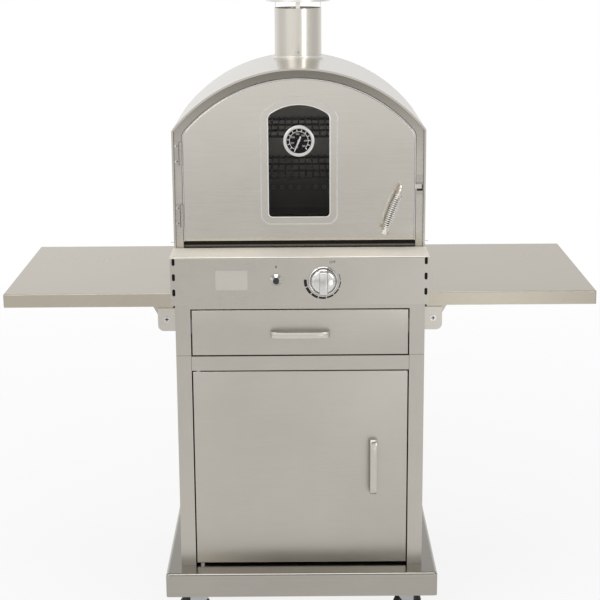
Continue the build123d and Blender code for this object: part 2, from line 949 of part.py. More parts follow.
# Burner box under the oven, open to the front behind the fascia
box_half = cart_half - seat_gap
box_front = cart_front + fascia_return + seat_gap
pipe_z = knob_z - pipe_drop
with BuildPart() as burner_box:
    slab((-box_half, box_front, cart_top), (box_half, cart_back, fascia_top - sheet))
    slab(
        (-box_half + sheet, box_front, cart_top + sheet),
        (box_half - sheet, cart_back - sheet, fascia_top - sheet),
        Mode.SUBTRACT,
    )
    disc(inlet_x, pipe_z, cart_back - sheet, cart_back, pipe_radius + touch_gap, Mode.SUBTRACT)
save(burner_box, "burner_box")

# Gas pipe from the valve to the inlet at the back
pipe_y = valve_face + pipe_setback
pipe_start = knob_x - valve_width / 2
with BuildPart() as gas_pipe:
    with BuildLine():
        FilletPolyline(
            (pipe_start, pipe_y, pipe_z),
            (inlet_x, pipe_y, pipe_z),
            (inlet_x, cart_back + seat_gap, pipe_z),
            radius=pipe_bend,
        )
    with BuildSketch(Plane(origin=(pipe_start, pipe_y, pipe_z), z_dir=(-1, 0, 0))):
        Circle(pipe_radius)
    sweep()
    nut_back = cart_back + seat_gap + inlet_nut
    with BuildSketch(front_plane(nut_back)):
        with Locations((inlet_x, pipe_z)):
            RegularPolygon(inlet_nut_radius, 6)
    extrude(amount=inlet_nut)
    disc(inlet_x, pipe_z, nut_back, nut_back + inlet_length, inlet_radius)
save(gas_pipe, "gas_pipe")

# Burner: two ported legs, a cross tube and the venturi behind the valve
burner_y = cart_front + burner_front
burner_back = burner_y + burner_length
venturi_front = valve_back + venturi_gap
with BuildPart() as burner:
    for x in (-burner_leg_x, burner_leg_x):
        disc(x, knob_z, burner_y, burner_back, burner_leg_radius)
        for foot_front in (burner_y + foot_length, burner_back - 2 * foot_length):
            slab(
                (x - foot_width / 2, foot_front, cart_top + sheet),
                (x + foot_width / 2, foot_front + foot_length, knob_z),
            )
    with BuildSketch(Plane.YZ.offset(-burner_leg_x)):
        with Locations((burner_y + burner_leg_radius, knob_z)):
            Circle(burner_leg_radius - sheet)
    extrude(amount=2 * burner_leg_x)
    disc(knob_x, knob_z, venturi_front, burner_y + burner_leg_radius, venturi_radius)
    disc(knob_x, knob_z, venturi_front, burner_y, venturi_bore, Mode.SUBTRACT)
    port_pitch = (burner_length - 4 * foot_length) / port_count
    with Locations((0, burner_y + burner_length / 2 + foot_length, knob_z + burner_leg_radius)):
        with GridLocations(2 * burner_leg_x, port_pitch, 2, port_count):
            Cylinder(port_radius, burner_leg_radius, mode=Mode.SUBTRACT)
save(burner, "burner")

# Deck plate that carries the hood over the burner box
with BuildPart() as oven_deck:
    slab((-fascia_half, oven_front, fascia_top - sheet), (fascia_half, cart_back, fascia_top))
    slab(
        (-deck_opening_x, liner_front + deck_opening_front, fascia_top - sheet),
        (deck_opening_x, liner_back - deck_opening_back, fascia_top),
        Mode.SUBTRACT,
    )
save(oven_deck, "oven_deck")

# Hood, a bent sheet with a hemmed front edge
spigot_radius = chimney_radius - chimney_wall - seat_gap
flue_radius = spigot_radius - chimney_wall
with BuildPart() as hood_shell:
    sheet_face(hood_outline, oven_front, cart_back - sheet, hood_inside)
    sheet_face(hood_outline, oven_front, oven_front + sheet, hem_inside)
    stud(0, chimney_y, eave, crown_top + collar_rise, spigot_radius + seat_gap, Mode.SUBTRACT)
save(hood_shell, "hood_shell")

# Oven back with a row of air holes
back_holes = [(index - (back_hole_count - 1) / 2) * back_hole_pitch for index in range(back_hole_count)]
back_hole_z = fascia_top + back_hole_level
with BuildPart() as oven_back:
    sheet_face(hood_outline, cart_back - sheet, cart_back)
    for x in back_holes:
        disc(x, back_hole_z, cart_back - sheet, cart_back, back_hole_radius, Mode.SUBTRACT)
save(oven_back, "oven_back")

# Front ring: flat face, jamb round the door and a sill set back below it
with BuildPart() as front_ring:
    sheet_face(ring_outline, ring_face, ring_face + sheet, opening_outline)
    sheet_face(jamb_outline, ring_face, liner_front + sheet, opening_outline)
    slab(
        (-opening_half - sheet / 2, ring_face + sill_setback, fascia_top),
        (opening_half + sheet / 2, ring_face + sill_setback + sill_depth, oven_door_bottom - sill_gap),
    )
save(front_ring, "front_ring")

# Liner: cooking chamber with front flange, rack ledges, flue hole and burner opening
rack_levels = (fascia_top + rack_lower_level, fascia_top + rack_upper_level)
with BuildPart() as oven_liner:
    sheet_face(liner_outline, liner_front, liner_back, liner_inside)
    sheet_face(liner_outline, liner_back - sheet, liner_back)
    sheet_face(flange_outline, liner_front, liner_front + sheet, liner_inside)
    for level in rack_levels:
        for side in (-1, 1):
            inner, outer = sorted((side * (liner_half - rack_ledge), side * (liner_half - sheet / 2)))
            slab((inner, liner_front, level - sheet), (outer, liner_back - sheet / 2, level))
    slab(
        (-liner_floor_opening_x, liner_front + liner_floor_opening_front, liner_floor),
        (liner_floor_opening_x, liner_back - liner_floor_opening_back, liner_floor + sheet),
        Mode.SUBTRACT,
    )
    stud(0, chimney_y, eave, crown_top, spigot_radius + seat_gap, Mode.SUBTRACT)
    for x in back_holes:
        disc(x, back_hole_z, liner_back - sheet, liner_back, back_hole_radius, Mode.SUBTRACT)
save(oven_liner, "oven_liner")

# Mineral wool between liner and hood
with BuildPart() as insulation:
    sheet_face(wool_outline, liner_front + sheet + wool_gap, cart_back - sheet - wool_gap, wool_inside)
    stud(0, chimney_y, eave, crown_top, spigot_radius + wool_gap, Mode.SUBTRACT)
save(insulation, "insulation")

# Heat plate on feet over the burner opening
plate_front = liner_front + liner_floor_opening_front - plate_overlap
plate_back = liner_back - liner_floor_opening_back + plate_overlap
plate_half = liner_floor_opening_x + plate_overlap
plate_bottom = liner_floor + sheet + plate_lift
hole_columns = int(2 * liner_floor_opening_x / plate_hole_pitch)
with BuildPart() as heat_plate:
    slab((-plate_half, plate_front, plate_bottom), (plate_half, plate_back, plate_bottom + heavy_sheet))
    for x in (-plate_half, plate_half - plate_overlap + sheet):
        for y in (plate_front, plate_back - plate_overlap + sheet):
            slab(
                (x, y, liner_floor + sheet),
                (x + plate_overlap - sheet, y + plate_overlap - sheet, plate_bottom),
            )
    with Locations((0, plate_front + plate_hole_pitch, plate_bottom)):
        with GridLocations(plate_hole_pitch, plate_hole_pitch, hole_columns, 1):
            Cylinder(plate_hole_radius, 4 * heavy_sheet, mode=Mode.SUBTRACT)
save(heat_plate, "heat_plate")

# Wire racks on the ledges
rack_top = rack_levels[-1] + rack_frame + rack_bar
rack_half = math.sqrt((liner_radius - sheet) ** 2 - (rack_top - crown_z) ** 2) - rack_side_gap
rack_half = min(rack_half, liner_half - sheet - rack_side_gap)
rack_front = liner_front + rack_front_gap
rack_back = liner_back - sheet - rack_back_gap
bar_count = 2 * int(rack_half / rack_pitch) + 1
cross_count = int((rack_back - rack_front - rack_frame) / rack_cross_pitch) + 1
cross_pitch = (rack_back - rack_front - rack_frame) / (cross_count - 1)
with BuildPart() as oven_racks:
    for level in rack_levels:
        for index in range(cross_count):
            y = rack_front + index * cross_pitch
            slab((-rack_half, y, level), (rack_half, y + rack_frame, level + rack_frame))
        for index in range(bar_count):
            x = (index - (bar_count - 1) / 2) * rack_pitch
            slab(
                (x - rack_bar / 2, rack_front, level + rack_frame),
                (x + rack_bar / 2, rack_back, level + rack_frame + rack_bar),
            )
save(oven_racks, "oven_racks")

# Chimney collar, a saddle on the roof with a spigot through it
collar_top = crown_top + collar_rise
saddle_cut = arch(hood_half, fascia_top, crown_radius + seat_gap)
with BuildPart() as chimney_collar:
    stud(0, chimney_y, collar_top - 3 * collar_rise, collar_top, collar_flange_radius)
    with BuildSketch(front_plane(cart_back)):
        add(saddle_cut)
    extrude(amount=cart_back - oven_front, mode=Mode.SUBTRACT)
    stud(0, chimney_y, collar_top - spigot_drop, collar_top + spigot_length, spigot_radius)
    stud(0, chimney_y, collar_top - spigot_drop, collar_top + spigot_length, flue_radius, Mode.SUBTRACT)
save(chimney_collar, "chimney_collar")

chimney_top = collar_top + chimney_length
with BuildPart() as chimney_pipe:
    stud(0, chimney_y, collar_top, chimney_top, chimney_radius)
    stud(0, chimney_y, collar_top, chimney_top, chimney_radius - chimney_wall, Mode.SUBTRACT)
save(chimney_pipe, "chimney_pipe")

# Rain cap, a shallow cone with a rim, on straps inside the pipe
cap_bottom = chimney_top + cap_gap
cap_shoulder = cap_bottom + cap_rim
strap_face = chimney_radius - chimney_wall - touch_gap
strap_top = cap_shoulder + cap_cone * (1 - strap_face / cap_radius) - sheet / 2
with BuildPart() as chimney_cap:
    with BuildSketch(Plane.XZ.offset(-chimney_y)):
        with BuildLine():
            Polyline(
                (0, cap_shoulder + cap_cone),
                (cap_radius, cap_shoulder),
                (cap_radius, cap_bottom),
                (cap_radius - sheet, cap_bottom),
                (cap_radius - sheet, cap_shoulder - sheet),
                (0, cap_shoulder + cap_cone - sheet),
                close=True,
            )
        make_face()
    revolve(axis=Axis((0, chimney_y, 0), (0, 0, 1)))
    with Locations((0, chimney_y, (chimney_top - strap_overlap + strap_top) / 2)):
        with PolarLocations(strap_face - strap_sheet / 2 - touch_gap, strap_count):
            Box(strap_sheet, strap_width, strap_top - chimney_top + strap_overlap)
save(chimney_cap, "chimney_cap")

# Oven door: outer skin with returned edges, closing plate behind, raised window border
skin_back = oven_door_front + sheet
handle_z = oven_door_bottom + handle_level
latch_front = skin_back + touch_gap
latch_back = latch_front + latch_thickness
latch_top = handle_z - latch_drop + latch_height / 2
latch_bottom = latch_top - latch_height
with BuildPart() as oven_door_panels:
    sheet_face(door_outline, oven_door_front, oven_door_back, door_inside)
    sheet_face(door_outline, oven_door_front, skin_back)
    fillet(oven_door_panels.faces().sort_by(Axis.Y)[0].outer_wire().edges(), door_edge_round)
    sheet_face(border_outline, oven_door_front - border_proud, oven_door_front)
    fillet(oven_door_panels.faces().sort_by(Axis.Y)[0].outer_wire().edges(), border_round)
    with BuildSketch(front_plane(skin_back)):
        add(window_outline)
    extrude(amount=sheet + border_proud, mode=Mode.SUBTRACT)
    disc(handle_x, handle_z, oven_door_front - bush_proud, oven_door_front, bush_radius)
    disc(
        handle_x,
        handle_z,
        oven_door_front - bush_proud,
        skin_back,
        handle_rod_radius + running_fit,
        Mode.SUBTRACT,
    )
    slab(
        (oven_door_half - sheet, skin_back, handle_z - latch_swing_room),
        (oven_door_half, latch_back + touch_gap, latch_top + touch_gap),
        Mode.SUBTRACT,
    )
    sheet_face(door_back_outline, oven_door_back - sheet, oven_door_back, window_outline)
save(oven_door_panels, "oven_door_panels")

# Window glass with a hole for the thermometer
dial_z = oven_door_bottom + dial_level
glass_front = skin_back + seat_gap
glass_back = glass_front + glass_thickness
with BuildPart() as door_glass:
    sheet_face(glass_outline, glass_front, glass_back)
    disc(0, dial_z, glass_front, glass_back, dial_stem_radius + touch_gap, Mode.SUBTRACT)
save(door_glass, "door_glass")

# Thermometer: case with stem and nut, lens and needle
dial_back = glass_front - seat_gap
dial_front = dial_back - dial_depth
dial_face = dial_front + dial_recess
with BuildPart() as thermometer_case:
    disc(0, dial_z, dial_front, dial_back, dial_radius)
    chamfer(thermometer_case.faces().sort_by(Axis.Y)[0].edges(), dial_edge)
    disc(0, dial_z, dial_front, dial_face, dial_face_radius, Mode.SUBTRACT)
    disc(0, dial_z, dial_face - 2 * needle_thickness, dial_face, dial_pin_radius)
    disc(0, dial_z, dial_back, glass_back + dial_stem_length, dial_stem_radius)
    disc(0, dial_z, glass_back + seat_gap, glass_back + seat_gap + dial_nut, dial_nut_radius)
save(thermometer_case, "thermometer_case")

with BuildPart() as thermometer_lens:
    lens_front = dial_front + lens_setback
    disc(0, dial_z, lens_front, lens_front + lens_thickness, dial_face_radius - seat_gap)
save(thermometer_lens, "thermometer_lens")

needle_back = dial_face - touch_gap
needle_plane = Plane(
    origin=(0, needle_back, dial_z),
    x_dir=(math.cos(math.radians(needle_rest_angle)), 0, -math.sin(math.radians(needle_rest_angle))),
    z_dir=(0, -1, 0),
)
with BuildPart() as needle:
    with BuildSketch(needle_plane):
        Polygon(
            (-needle_tip_width / 2, needle_length),
            (needle_tip_width / 2, needle_length),
            (needle_root_width / 2, -needle_tail),
            (-needle_root_width / 2, -needle_tail),
            align=None,
        )
        Circle(needle_hub_radius)
        Circle(dial_pin_radius + running_fit, mode=Mode.SUBTRACT)
    extrude(amount=needle_thickness)
save(needle, "needle")

# Oven door hinges: fixed leaves with pins on the ring, moving leaves on the door edge
hinge_x = -oven_door_half - hinge_offset
hinge_y = ring_face - hinge_radius - hinge_face_gap
knuckle = (hinge_height - 2 * touch_gap) / 3
leaf_outer = hinge_x - hinge_leaf_width
leaf_inner = hinge_x - hinge_radius - hinge_face_gap
with BuildPart() as ring_hinges:
    for level in hinge_levels:
        low = oven_door_bottom + level
        high = low + hinge_height
        slab((leaf_outer, ring_face - hinge_leaf, low), (leaf_inner, ring_face, high))
        for start in (low, high - knuckle):
            slab((leaf_inner, ring_face - hinge_leaf, start), (hinge_x, ring_face, start + knuckle))
            stud(hinge_x, hinge_y, start, start + knuckle, hinge_radius)
        stud(hinge_x, hinge_y, low, high, hinge_pin_radius)
save(ring_hinges, "ring_hinges")

door_edge = -oven_door_half
leaf_front = ring_face + hinge_face_gap
with BuildPart() as door_hinges:
    for level in hinge_levels:
        low = oven_door_bottom + level
        start = low + knuckle + touch_gap
        slab(
            (door_edge - hinge_leaf, leaf_front, low),
            (door_edge, leaf_front + hinge_leaf_depth, low + hinge_height),
        )
        slab((hinge_x, hinge_y, start), (door_edge, leaf_front + hinge_leaf, start + knuckle))
        stud(hinge_x, hinge_y, start, start + knuckle, hinge_radius)
        stud(hinge_x, hinge_y, low, low + hinge_height, hinge_pin_radius + running_fit, Mode.SUBTRACT)
        slab(
            (hinge_x - hinge_radius, ring_face - hinge_face_gap, start),
            (door_edge - hinge_leaf - hinge_face_gap, leaf_front + hinge_leaf, start + knuckle),
            Mode.SUBTRACT,
        )
save(door_hinges, "door_hinges")

# Latch keeper on the ring, a plate with a shelf over the tongue
keeper_inner = opening_half + sheet
keeper_bottom = latch_top + touch_gap
with BuildPart() as latch_keeper:
    slab(
        (keeper_inner, ring_face - keeper_sheet, keeper_bottom - keeper_fall),
        (keeper_inner + keeper_width, ring_face, keeper_bottom + keeper_rise),
    )
    slab(
        (keeper_inner, ring_face - keeper_depth, keeper_bottom),
        (keeper_inner + keeper_width, ring_face, keeper_bottom + keeper_shelf),
    )
save(latch_keeper, "latch_keeper")

# Handle: one bent rod from the latch to the end cap, with stops for the coil grip
lean = math.radians(handle_lean)
handle_axis = Vector(-math.sin(lean), 0, -math.cos(lean))
handle_front = oven_door_front - handle_stand_off
handle_corner = Vector(handle_x, handle_front, handle_z)
handle_end = handle_corner + handle_axis * handle_length
coil_end = handle_length - cap_end_length
with BuildPart() as door_handle:
    with BuildLine():
        FilletPolyline(
            (handle_x, latch_back, handle_z),
            handle_corner,
            handle_end,
            radius=handle_bend,
        )
    with BuildSketch(Plane(origin=(handle_x, latch_back, handle_z), z_dir=(0, -1, 0))):
        Circle(handle_rod_radius)
    sweep()
    stop_origin = handle_corner + handle_axis * (coil_start - stop_length)
    with BuildSketch(Plane(origin=stop_origin, z_dir=handle_axis)):
        Circle(stop_radius)
    extrude(amount=stop_length)
    with BuildSketch(Plane(origin=handle_corner + handle_axis * coil_end, z_dir=handle_axis)):
        Circle(cap_end_radius)
    extrude(amount=cap_end_length)
    disc(handle_x, handle_z, latch_front, latch_back, latch_hub_radius)
    slab(
        (handle_x, latch_front, latch_bottom),
        (oven_door_half + latch_reach, latch_back, latch_top),
    )
save(door_handle, "door_handle")

# Coil grip: one wire wound in a barrel round the rod, straight where it meets each stop
coil_side = Vector(math.cos(lean), 0, -math.sin(lean))
coil_front = handle_axis.cross(coil_side)
coil_length = coil_end - coil_start
wound_length = coil_length - 2 * (coil_lead + coil_wire)


def coil_point(share):
    """A point of the wound part, from 0 at the upper stop to 1 at the lower."""
    angle = 2 * math.pi * coil_turns * share
    radius = coil_end_radius + (coil_middle_radius - coil_end_radius) * math.sin(math.pi * share)
    along = coil_start + coil_lead + coil_wire + wound_length * share
    spoke = coil_side * math.cos(angle) + coil_front * math.sin(angle)
    return handle_corner + handle_axis * along + spoke * radius


def coil_direction(share):
    """The wire's direction at the same point."""
    step = 0.0001
    return (coil_point(share + step) - coil_point(share - step)).normalized()


def biarc(start, start_way, end, end_way):
    """Two arcs that join smoothly between two points with given directions."""
    chord = end - start
    ways = start_way + end_way
    turn = 2 * (1 - start_way.dot(end_way))
    reach = chord.dot(ways)
    arm = (math.sqrt(reach**2 + turn * chord.dot(chord)) - reach) / turn
    join = (start + start_way * arm + end - end_way * arm) * 0.5
    TangentArc(start, join, tangent=start_way)
    TangentArc(end, join, tangent=end_way * -1)


half_turns = 2 * coil_turns
knots = [index / half_turns for index in range(half_turns + 1)]
first_way = coil_direction(knots[0])
last_way = coil_direction(knots[-1])
lead_in = coil_point(0) - (handle_axis + coil_front) * coil_lead
lead_out = coil_point(1) + (handle_axis + coil_front) * coil_lead
with BuildPart() as handle_coil:
    with BuildLine() as coil_path:
        Line(lead_in - handle_axis * coil_wire, lead_in)
        biarc(lead_in, handle_axis, coil_point(0), first_way)
        for share, following in zip(knots, knots[1:]):
            biarc(
                coil_point(share), coil_direction(share), coil_point(following), coil_direction(following)
            )
        biarc(coil_point(1), last_way, lead_out, handle_axis)
        Line(lead_out, lead_out + handle_axis * coil_wire)
    with BuildSketch(Plane(origin=lead_in - handle_axis * coil_wire, z_dir=handle_axis)):
        Circle(coil_wire / 2)
    sweep()
save(handle_coil, "handle_coil")

samples = [coil_point(index / (48 * coil_turns)) for index in range(48 * coil_turns + 1)]
least_gap = min(
    (samples[far] - samples[near]).length
    for near in range(len(samples))
    for far in range(near + 24, min(near + 97, len(samples)))
)
print("coil grip: least gap between turns", round(least_gap - coil_wire, 2), "mm")

# Visible screws and bolts fixed to the cart and the oven
with BuildPart() as frame_fasteners:
    for level in hinge_levels:
        for z in (level + knuckle / 2, level + hinge_height - knuckle / 2):
            disc(
                (leaf_outer + leaf_inner) / 2,
                oven_door_bottom + z,
                ring_face - hinge_leaf - screw_head,
                ring_face - hinge_leaf,
                screw_radius,
            )
    disc(
        keeper_inner + keeper_width / 2,
        keeper_bottom + keeper_shelf + (keeper_rise - keeper_shelf) / 2,
        ring_face - keeper_sheet - screw_head,
        ring_face - keeper_sheet,
        screw_radius,
    )
    for side in (-1, 1):
        ear_back = ear_layers[0][1]
        disc(side * bolt_x, bolt_z, front_bracket - bolt_head, front_bracket, bolt_head_radius)
        disc(side * bolt_x, bolt_z, front_bracket, ear_back + bolt_head, bolt_radius)
        ear_front = ear_layers[1][0]
        disc(side * bolt_x, bolt_z, rear_bracket, rear_bracket + bolt_head, bolt_head_radius)
        disc(side * bolt_x, bolt_z, ear_front - bolt_head, rear_bracket, bolt_radius)
save(frame_fasteners, "frame_fasteners")
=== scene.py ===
import json
import math

import bmesh
import bpy
from mathutils import Matrix, Vector


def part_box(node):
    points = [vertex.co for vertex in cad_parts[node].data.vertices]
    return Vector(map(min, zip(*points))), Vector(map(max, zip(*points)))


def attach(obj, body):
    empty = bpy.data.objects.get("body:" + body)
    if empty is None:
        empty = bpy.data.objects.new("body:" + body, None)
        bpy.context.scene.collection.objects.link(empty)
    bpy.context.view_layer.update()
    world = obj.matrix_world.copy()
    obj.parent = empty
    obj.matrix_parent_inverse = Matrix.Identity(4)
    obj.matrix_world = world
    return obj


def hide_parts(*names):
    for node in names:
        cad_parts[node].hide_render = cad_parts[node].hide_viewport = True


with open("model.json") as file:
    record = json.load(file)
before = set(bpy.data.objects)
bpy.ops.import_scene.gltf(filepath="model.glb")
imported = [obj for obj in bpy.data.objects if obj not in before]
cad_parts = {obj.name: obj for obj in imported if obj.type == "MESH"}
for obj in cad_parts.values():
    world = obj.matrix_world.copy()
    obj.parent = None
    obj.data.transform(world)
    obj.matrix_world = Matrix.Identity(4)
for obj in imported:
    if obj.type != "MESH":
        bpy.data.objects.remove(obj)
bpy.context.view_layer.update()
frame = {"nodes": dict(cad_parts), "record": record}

millimetre = 0.001
full_turn = 2 * math.pi
weld_distance = 0.00001
usual_warmth = 0.045


class Wire:
    """A shader socket that can stand in sums and products."""

    def __init__(self, graph, socket):
        self.graph = graph
        self.socket = socket

    def __add__(self, other):
        return self.graph.math("ADD", self, other)

    def __sub__(self, other):
        return self.graph.math("SUBTRACT", self, other)

    def __rsub__(self, other):
        return self.graph.math("SUBTRACT", other, self)

    def __mul__(self, other):
        return self.graph.math("MULTIPLY", self, other)

    __radd__ = __add__
    __rmul__ = __mul__


class Graph:
    """The nodes of a material or of the world."""

    def __init__(self, tree):
        self.tree = tree

    def node(self, kind, settings=None, **sockets):
        """Add a node, set it up, then fill or link its sockets, named with _ for a space."""
        made = self.tree.nodes.new(kind)
        for key, value in (settings or {}).items():
            if key == "stops":
                self.fill_ramp(made.color_ramp, value)
            else:
                setattr(made, key, value)
        for key, value in sockets.items():
            name = key.replace("_", " ").strip()
            self.join(made.inputs[int(name)] if name.isdigit() else made.inputs[name], value)
        return made

    def fill_ramp(self, ramp, stops):
        while len(ramp.elements) < len(stops):
            ramp.elements.new(1.0)
        for element, (position, colour) in zip(ramp.elements, stops):
            element.position = position
            element.color = (*colour, 1.0)

    def join(self, socket, value):
        if isinstance(value, Wire):
            self.tree.links.new(value.socket, socket)
        else:
            socket.default_value = value

    def math(self, operation, first, second):
        made = self.node("ShaderNodeMath", {"operation": operation}, _0=first, _1=second)
        return Wire(self, made.outputs[0])

    def seeing_rays(self):
        """Two switches: one for the camera's rays, one for those of metal and glass."""
        path = self.node("ShaderNodeLightPath")
        kinds = ("Is Camera Ray", "Is Glossy Ray", "Is Transmission Ray")
        camera, glossy, clear = (Wire(self, path.outputs[kind]) for kind in kinds)
        return camera, self.math("MAXIMUM", glossy, clear)

    def ramp(self, factor, stops):
        made = self.node("ShaderNodeValToRGB", {"stops": stops}, Fac=factor)
        return Wire(self, made.outputs["Color"])

    def parts_of(self, vector):
        """The x, y and z of a vector."""
        made = self.node("ShaderNodeSeparateXYZ", Vector=vector)
        return [Wire(self, socket) for socket in made.outputs]


def warm_grey(level, warmth=usual_warmth):
    """A grey of one level in linear light, a little yellow."""
    red_gain, blue_loss = 1.2 * warmth, 2.2 * warmth
    return (level * (1 + red_gain), level, level * (1 - blue_loss))


class Finish(Graph):
    """A material with one main shader."""

    def __init__(self, name, **settings):
        self.material = bpy.data.materials.new(name)
        self.material.use_nodes = True
        super().__init__(self.material.node_tree)
        self.shader = self.tree.nodes["Principled BSDF"]
        self.place = Wire(self, self.node("ShaderNodeTexCoord").outputs["Object"])
        for socket, value in settings.items():
            self.set(socket, value)

    def set(self, socket, value):
        """Fill or link one socket of the main shader."""
        name = socket.replace("_", " ").title().replace("Ior", "IOR")
        if name == "Base Color" and isinstance(value, tuple):
            value = (*value, 1.0)
        self.join(self.shader.inputs[name], value)

    def vary(self, socket, factor, middle, spread):
        """Let one socket of the main shader vary about a middle value."""
        self.set(socket, factor * spread + (middle - spread / 2))

    def noise(self, scale, detail=4.0, roughness=0.6, stretch=(1, 1, 1)):
        """Cloudy noise on the piece's own coordinates, stretched along an axis if asked."""
        place = self.node("ShaderNodeMapping", Vector=self.place, Scale=stretch)
        made = self.node(
            "ShaderNodeTexNoise",
            Vector=Wire(self, place.outputs[0]),
            Scale=scale,
            Detail=detail,
            Roughness=roughness,
        )
        return Wire(self, made.outputs["Fac"])

    def greys(self, factor, low, high, warmth=usual_warmth, start=0.3, end=0.7):
        """A ramp from one warm grey to another."""
        return self.ramp(factor, [(start, warm_grey(low, warmth)), (end, warm_grey(high, warmth))])

    def blend(self, factor, first, second):
        """Mix two colours by a factor."""
        made = self.node("ShaderNodeMix", {"data_type": "RGBA"}, _0=factor, _6=first, _7=second)
        return Wire(self, made.outputs[2])

    def mixed(self, factor, first, second):
        """Mix two shaders by a factor."""
        made = self.node("ShaderNodeMixShader", _0=factor, _1=first, _2=second)
        return Wire(self, made.outputs[0])

    def bump(self, height, distance, strength):
        made = self.node("ShaderNodeBump", Height=height, Distance=distance, Strength=strength)
        self.set("normal", Wire(self, made.outputs[0]))


# Brushed sheet: how its grain is drawn out and how deep it is, and how far its tone and gloss vary
grain_stretch = 0.012
grain_ways = {"x": (grain_stretch, 1, 1), "y": (1, grain_stretch, 1), "z": (1, 1, grain_stretch)}
grain_depth, grain_strength = 0.00004, 0.3
sheet_dull, sheet_bright = 0.93, 1.07
sheet_gloss_spread = 0.14


def fine_grain(finish, way):
    """The finest brush lines of a sheet, along one axis."""
    return finish.noise(2600, detail=2.0, stretch=grain_ways[way])


def sheet_tones(finish, tone, level, warmth=usual_warmth):
    """The greys of a stainless sheet, from its dull marks to its bright ones."""
    return finish.greys(tone, level * sheet_dull, level * sheet_bright, warmth)


def brushed_steel(name, level, grain, roughness, warmth=usual_warmth):
    """Stainless sheet with a brushed grain along one axis and faint handling marks."""
    finish = Finish(name, metallic=1.0)
    fine = fine_grain(finish, grain)
    streak = finish.noise(420, detail=3.0, stretch=grain_ways[grain])
    marks = finish.noise(5)
    tone = fine * 0.3 + streak * 0.3 + marks * 0.4
    finish.set("base_color", sheet_tones(finish, tone, level, warmth))
    finish.vary("roughness", tone, roughness, sheet_gloss_spread)
    finish.bump(fine + streak, grain_depth, grain_strength)
    return finish.material


def ledge_steel(name, level, ledge):
    """Brushed sheet whose flat top, above a level, is duller and less metallic, and painted paler to
    stand for the light falling on it.
    """
    top_light_low, top_light_high, metal_loss = 0.78, 0.88, 0.45
    least_roughness, roughness_gain = 0.22, 0.3
    finish = Finish(name)
    fine = fine_grain(finish, "x")
    marks = finish.noise(5)
    tone = fine * 0.5 + marks * 0.5
    top = finish.math("GREATER_THAN", finish.parts_of(finish.place)[2], ledge)
    sheet = sheet_tones(finish, tone, level)
    # The top's paler greys are painted light
    top_painted_light = finish.greys(tone, top_light_low, top_light_high)
    finish.set("base_color", finish.blend(top, sheet, top_painted_light))
    finish.set("metallic", 1 - top * metal_loss)
    finish.set("roughness", tone * sheet_gloss_spread + top * roughness_gain + least_roughness)
    finish.bump(fine, grain_depth, grain_strength)
    return finish.material


def smoked_steel(name, level, dark_level, plain_height, dark_height, roughness=0.27):
    """Brushed sheet that grows darker from a plain height to a dark one, along a wavering edge."""
    dark_warmth, edge_wander = 0.06, 0.3
    finish = Finish(name, metallic=1.0)
    fine = fine_grain(finish, "x")
    cloud = finish.noise(16)
    tone = fine * 0.5 + cloud * 0.5
    height = finish.parts_of(finish.place)[2]
    rise = (height - plain_height) * (1 / (dark_height - plain_height))
    reach = rise + (cloud - 0.5) * edge_wander
    # The darkening over height; on the ring and the sill it is painted shade
    darkening = finish.ramp(reach, [(0.0, (0, 0, 0)), (1.0, (1, 1, 1))])
    sheet = sheet_tones(finish, tone, level)
    dark = finish.greys(tone, dark_level * 0.85, dark_level * 1.15, dark_warmth)
    finish.set("base_color", finish.blend(darkening, sheet, dark))
    finish.vary("roughness", tone, roughness, sheet_gloss_spread)
    finish.bump(fine, grain_depth, grain_strength)
    return finish.material


def plain_steel(name, level, roughness=0.42, warmth=0.03):
    """Rolled sheet with soft cloudy marks."""
    finish = Finish(name, metallic=1.0)
    cloud = finish.noise(9, detail=5.0)
    speck = finish.noise(700, detail=2.0, roughness=0.5)
    finish.set("base_color", finish.greys(cloud, level * 0.94, level * 1.06, warmth))
    finish.vary("roughness", cloud, roughness, spread=0.12)
    finish.bump(speck, distance=0.00005, strength=0.3)
    return finish.material


def bright_metal(name, level, roughness):
    """Polished or satin plating with fine wear."""
    finish = Finish(name, metallic=1.0)
    wear = finish.noise(60)
    finish.set("base_color", finish.greys(wear, level * 0.92, level, warmth=0.012))
    finish.vary("roughness", wear, roughness, spread=0.1)
    return finish.material


def covered_metal(name, level, painted_shade_level, low, high):
    """Bright plating, rougher between two heights and painted dark there as the shade inside the coil
    that covers it.
    """
    least_roughness, roughness_gain = 0.08, 0.4
    finish = Finish(name, metallic=1.0)
    wear = finish.noise(60)
    height = finish.parts_of(finish.place)[2]
    coil_shade_mask = finish.math("GREATER_THAN", height, low) * finish.math("LESS_THAN", height, high)
    finish.set("base_color", finish.greys(coil_shade_mask, level, painted_shade_level, start=0.0, end=1.0))
    finish.set("roughness", wear * 0.1 + coil_shade_mask * roughness_gain + least_roughness)
    return finish.material


def moulded(name, level, roughness, gloss=0.5):
    """Moulded plastic, rubber or paint of one grey, with a fine grain and a little dust."""
    finish = Finish(name, specular_ior_level=gloss)
    grain = finish.noise(900, detail=3.0)
    dust = finish.noise(30)
    tones = finish.greys(dust, level * 0.85, level * 1.15, warmth=0.01, start=0.35, end=0.75)
    finish.set("base_color", tones)
    finish.set("roughness", grain * 0.15 + (roughness - 0.08))
    finish.bump(grain, distance=0.00006, strength=0.3)
    return finish.material


def clear_glass(name, level, alpha):
    """Flat glass with a faint film of dust."""
    finish = Finish(name, base_color=warm_grey(level, 0.02), IOR=1.5)
    film = finish.noise(12)
    finish.vary("alpha", film, alpha, spread=0.08)
    finish.vary("roughness", film, middle=0.045, spread=0.05)
    return finish.material


def machined_brass(name):
    """Brass with the fine rings of a lathe."""
    dull, bright = (0.52, 0.38, 0.16), (0.68, 0.52, 0.26)
    finish = Finish(name, metallic=1.0)
    lathe = finish.noise(500, detail=2.0, roughness=0.5, stretch=(1, 0.03, 1))
    finish.set("base_color", finish.ramp(lathe, [(0.3, dull), (0.7, bright)]))
    finish.vary("roughness", lathe, middle=0.35, spread=0.2)
    return finish.material


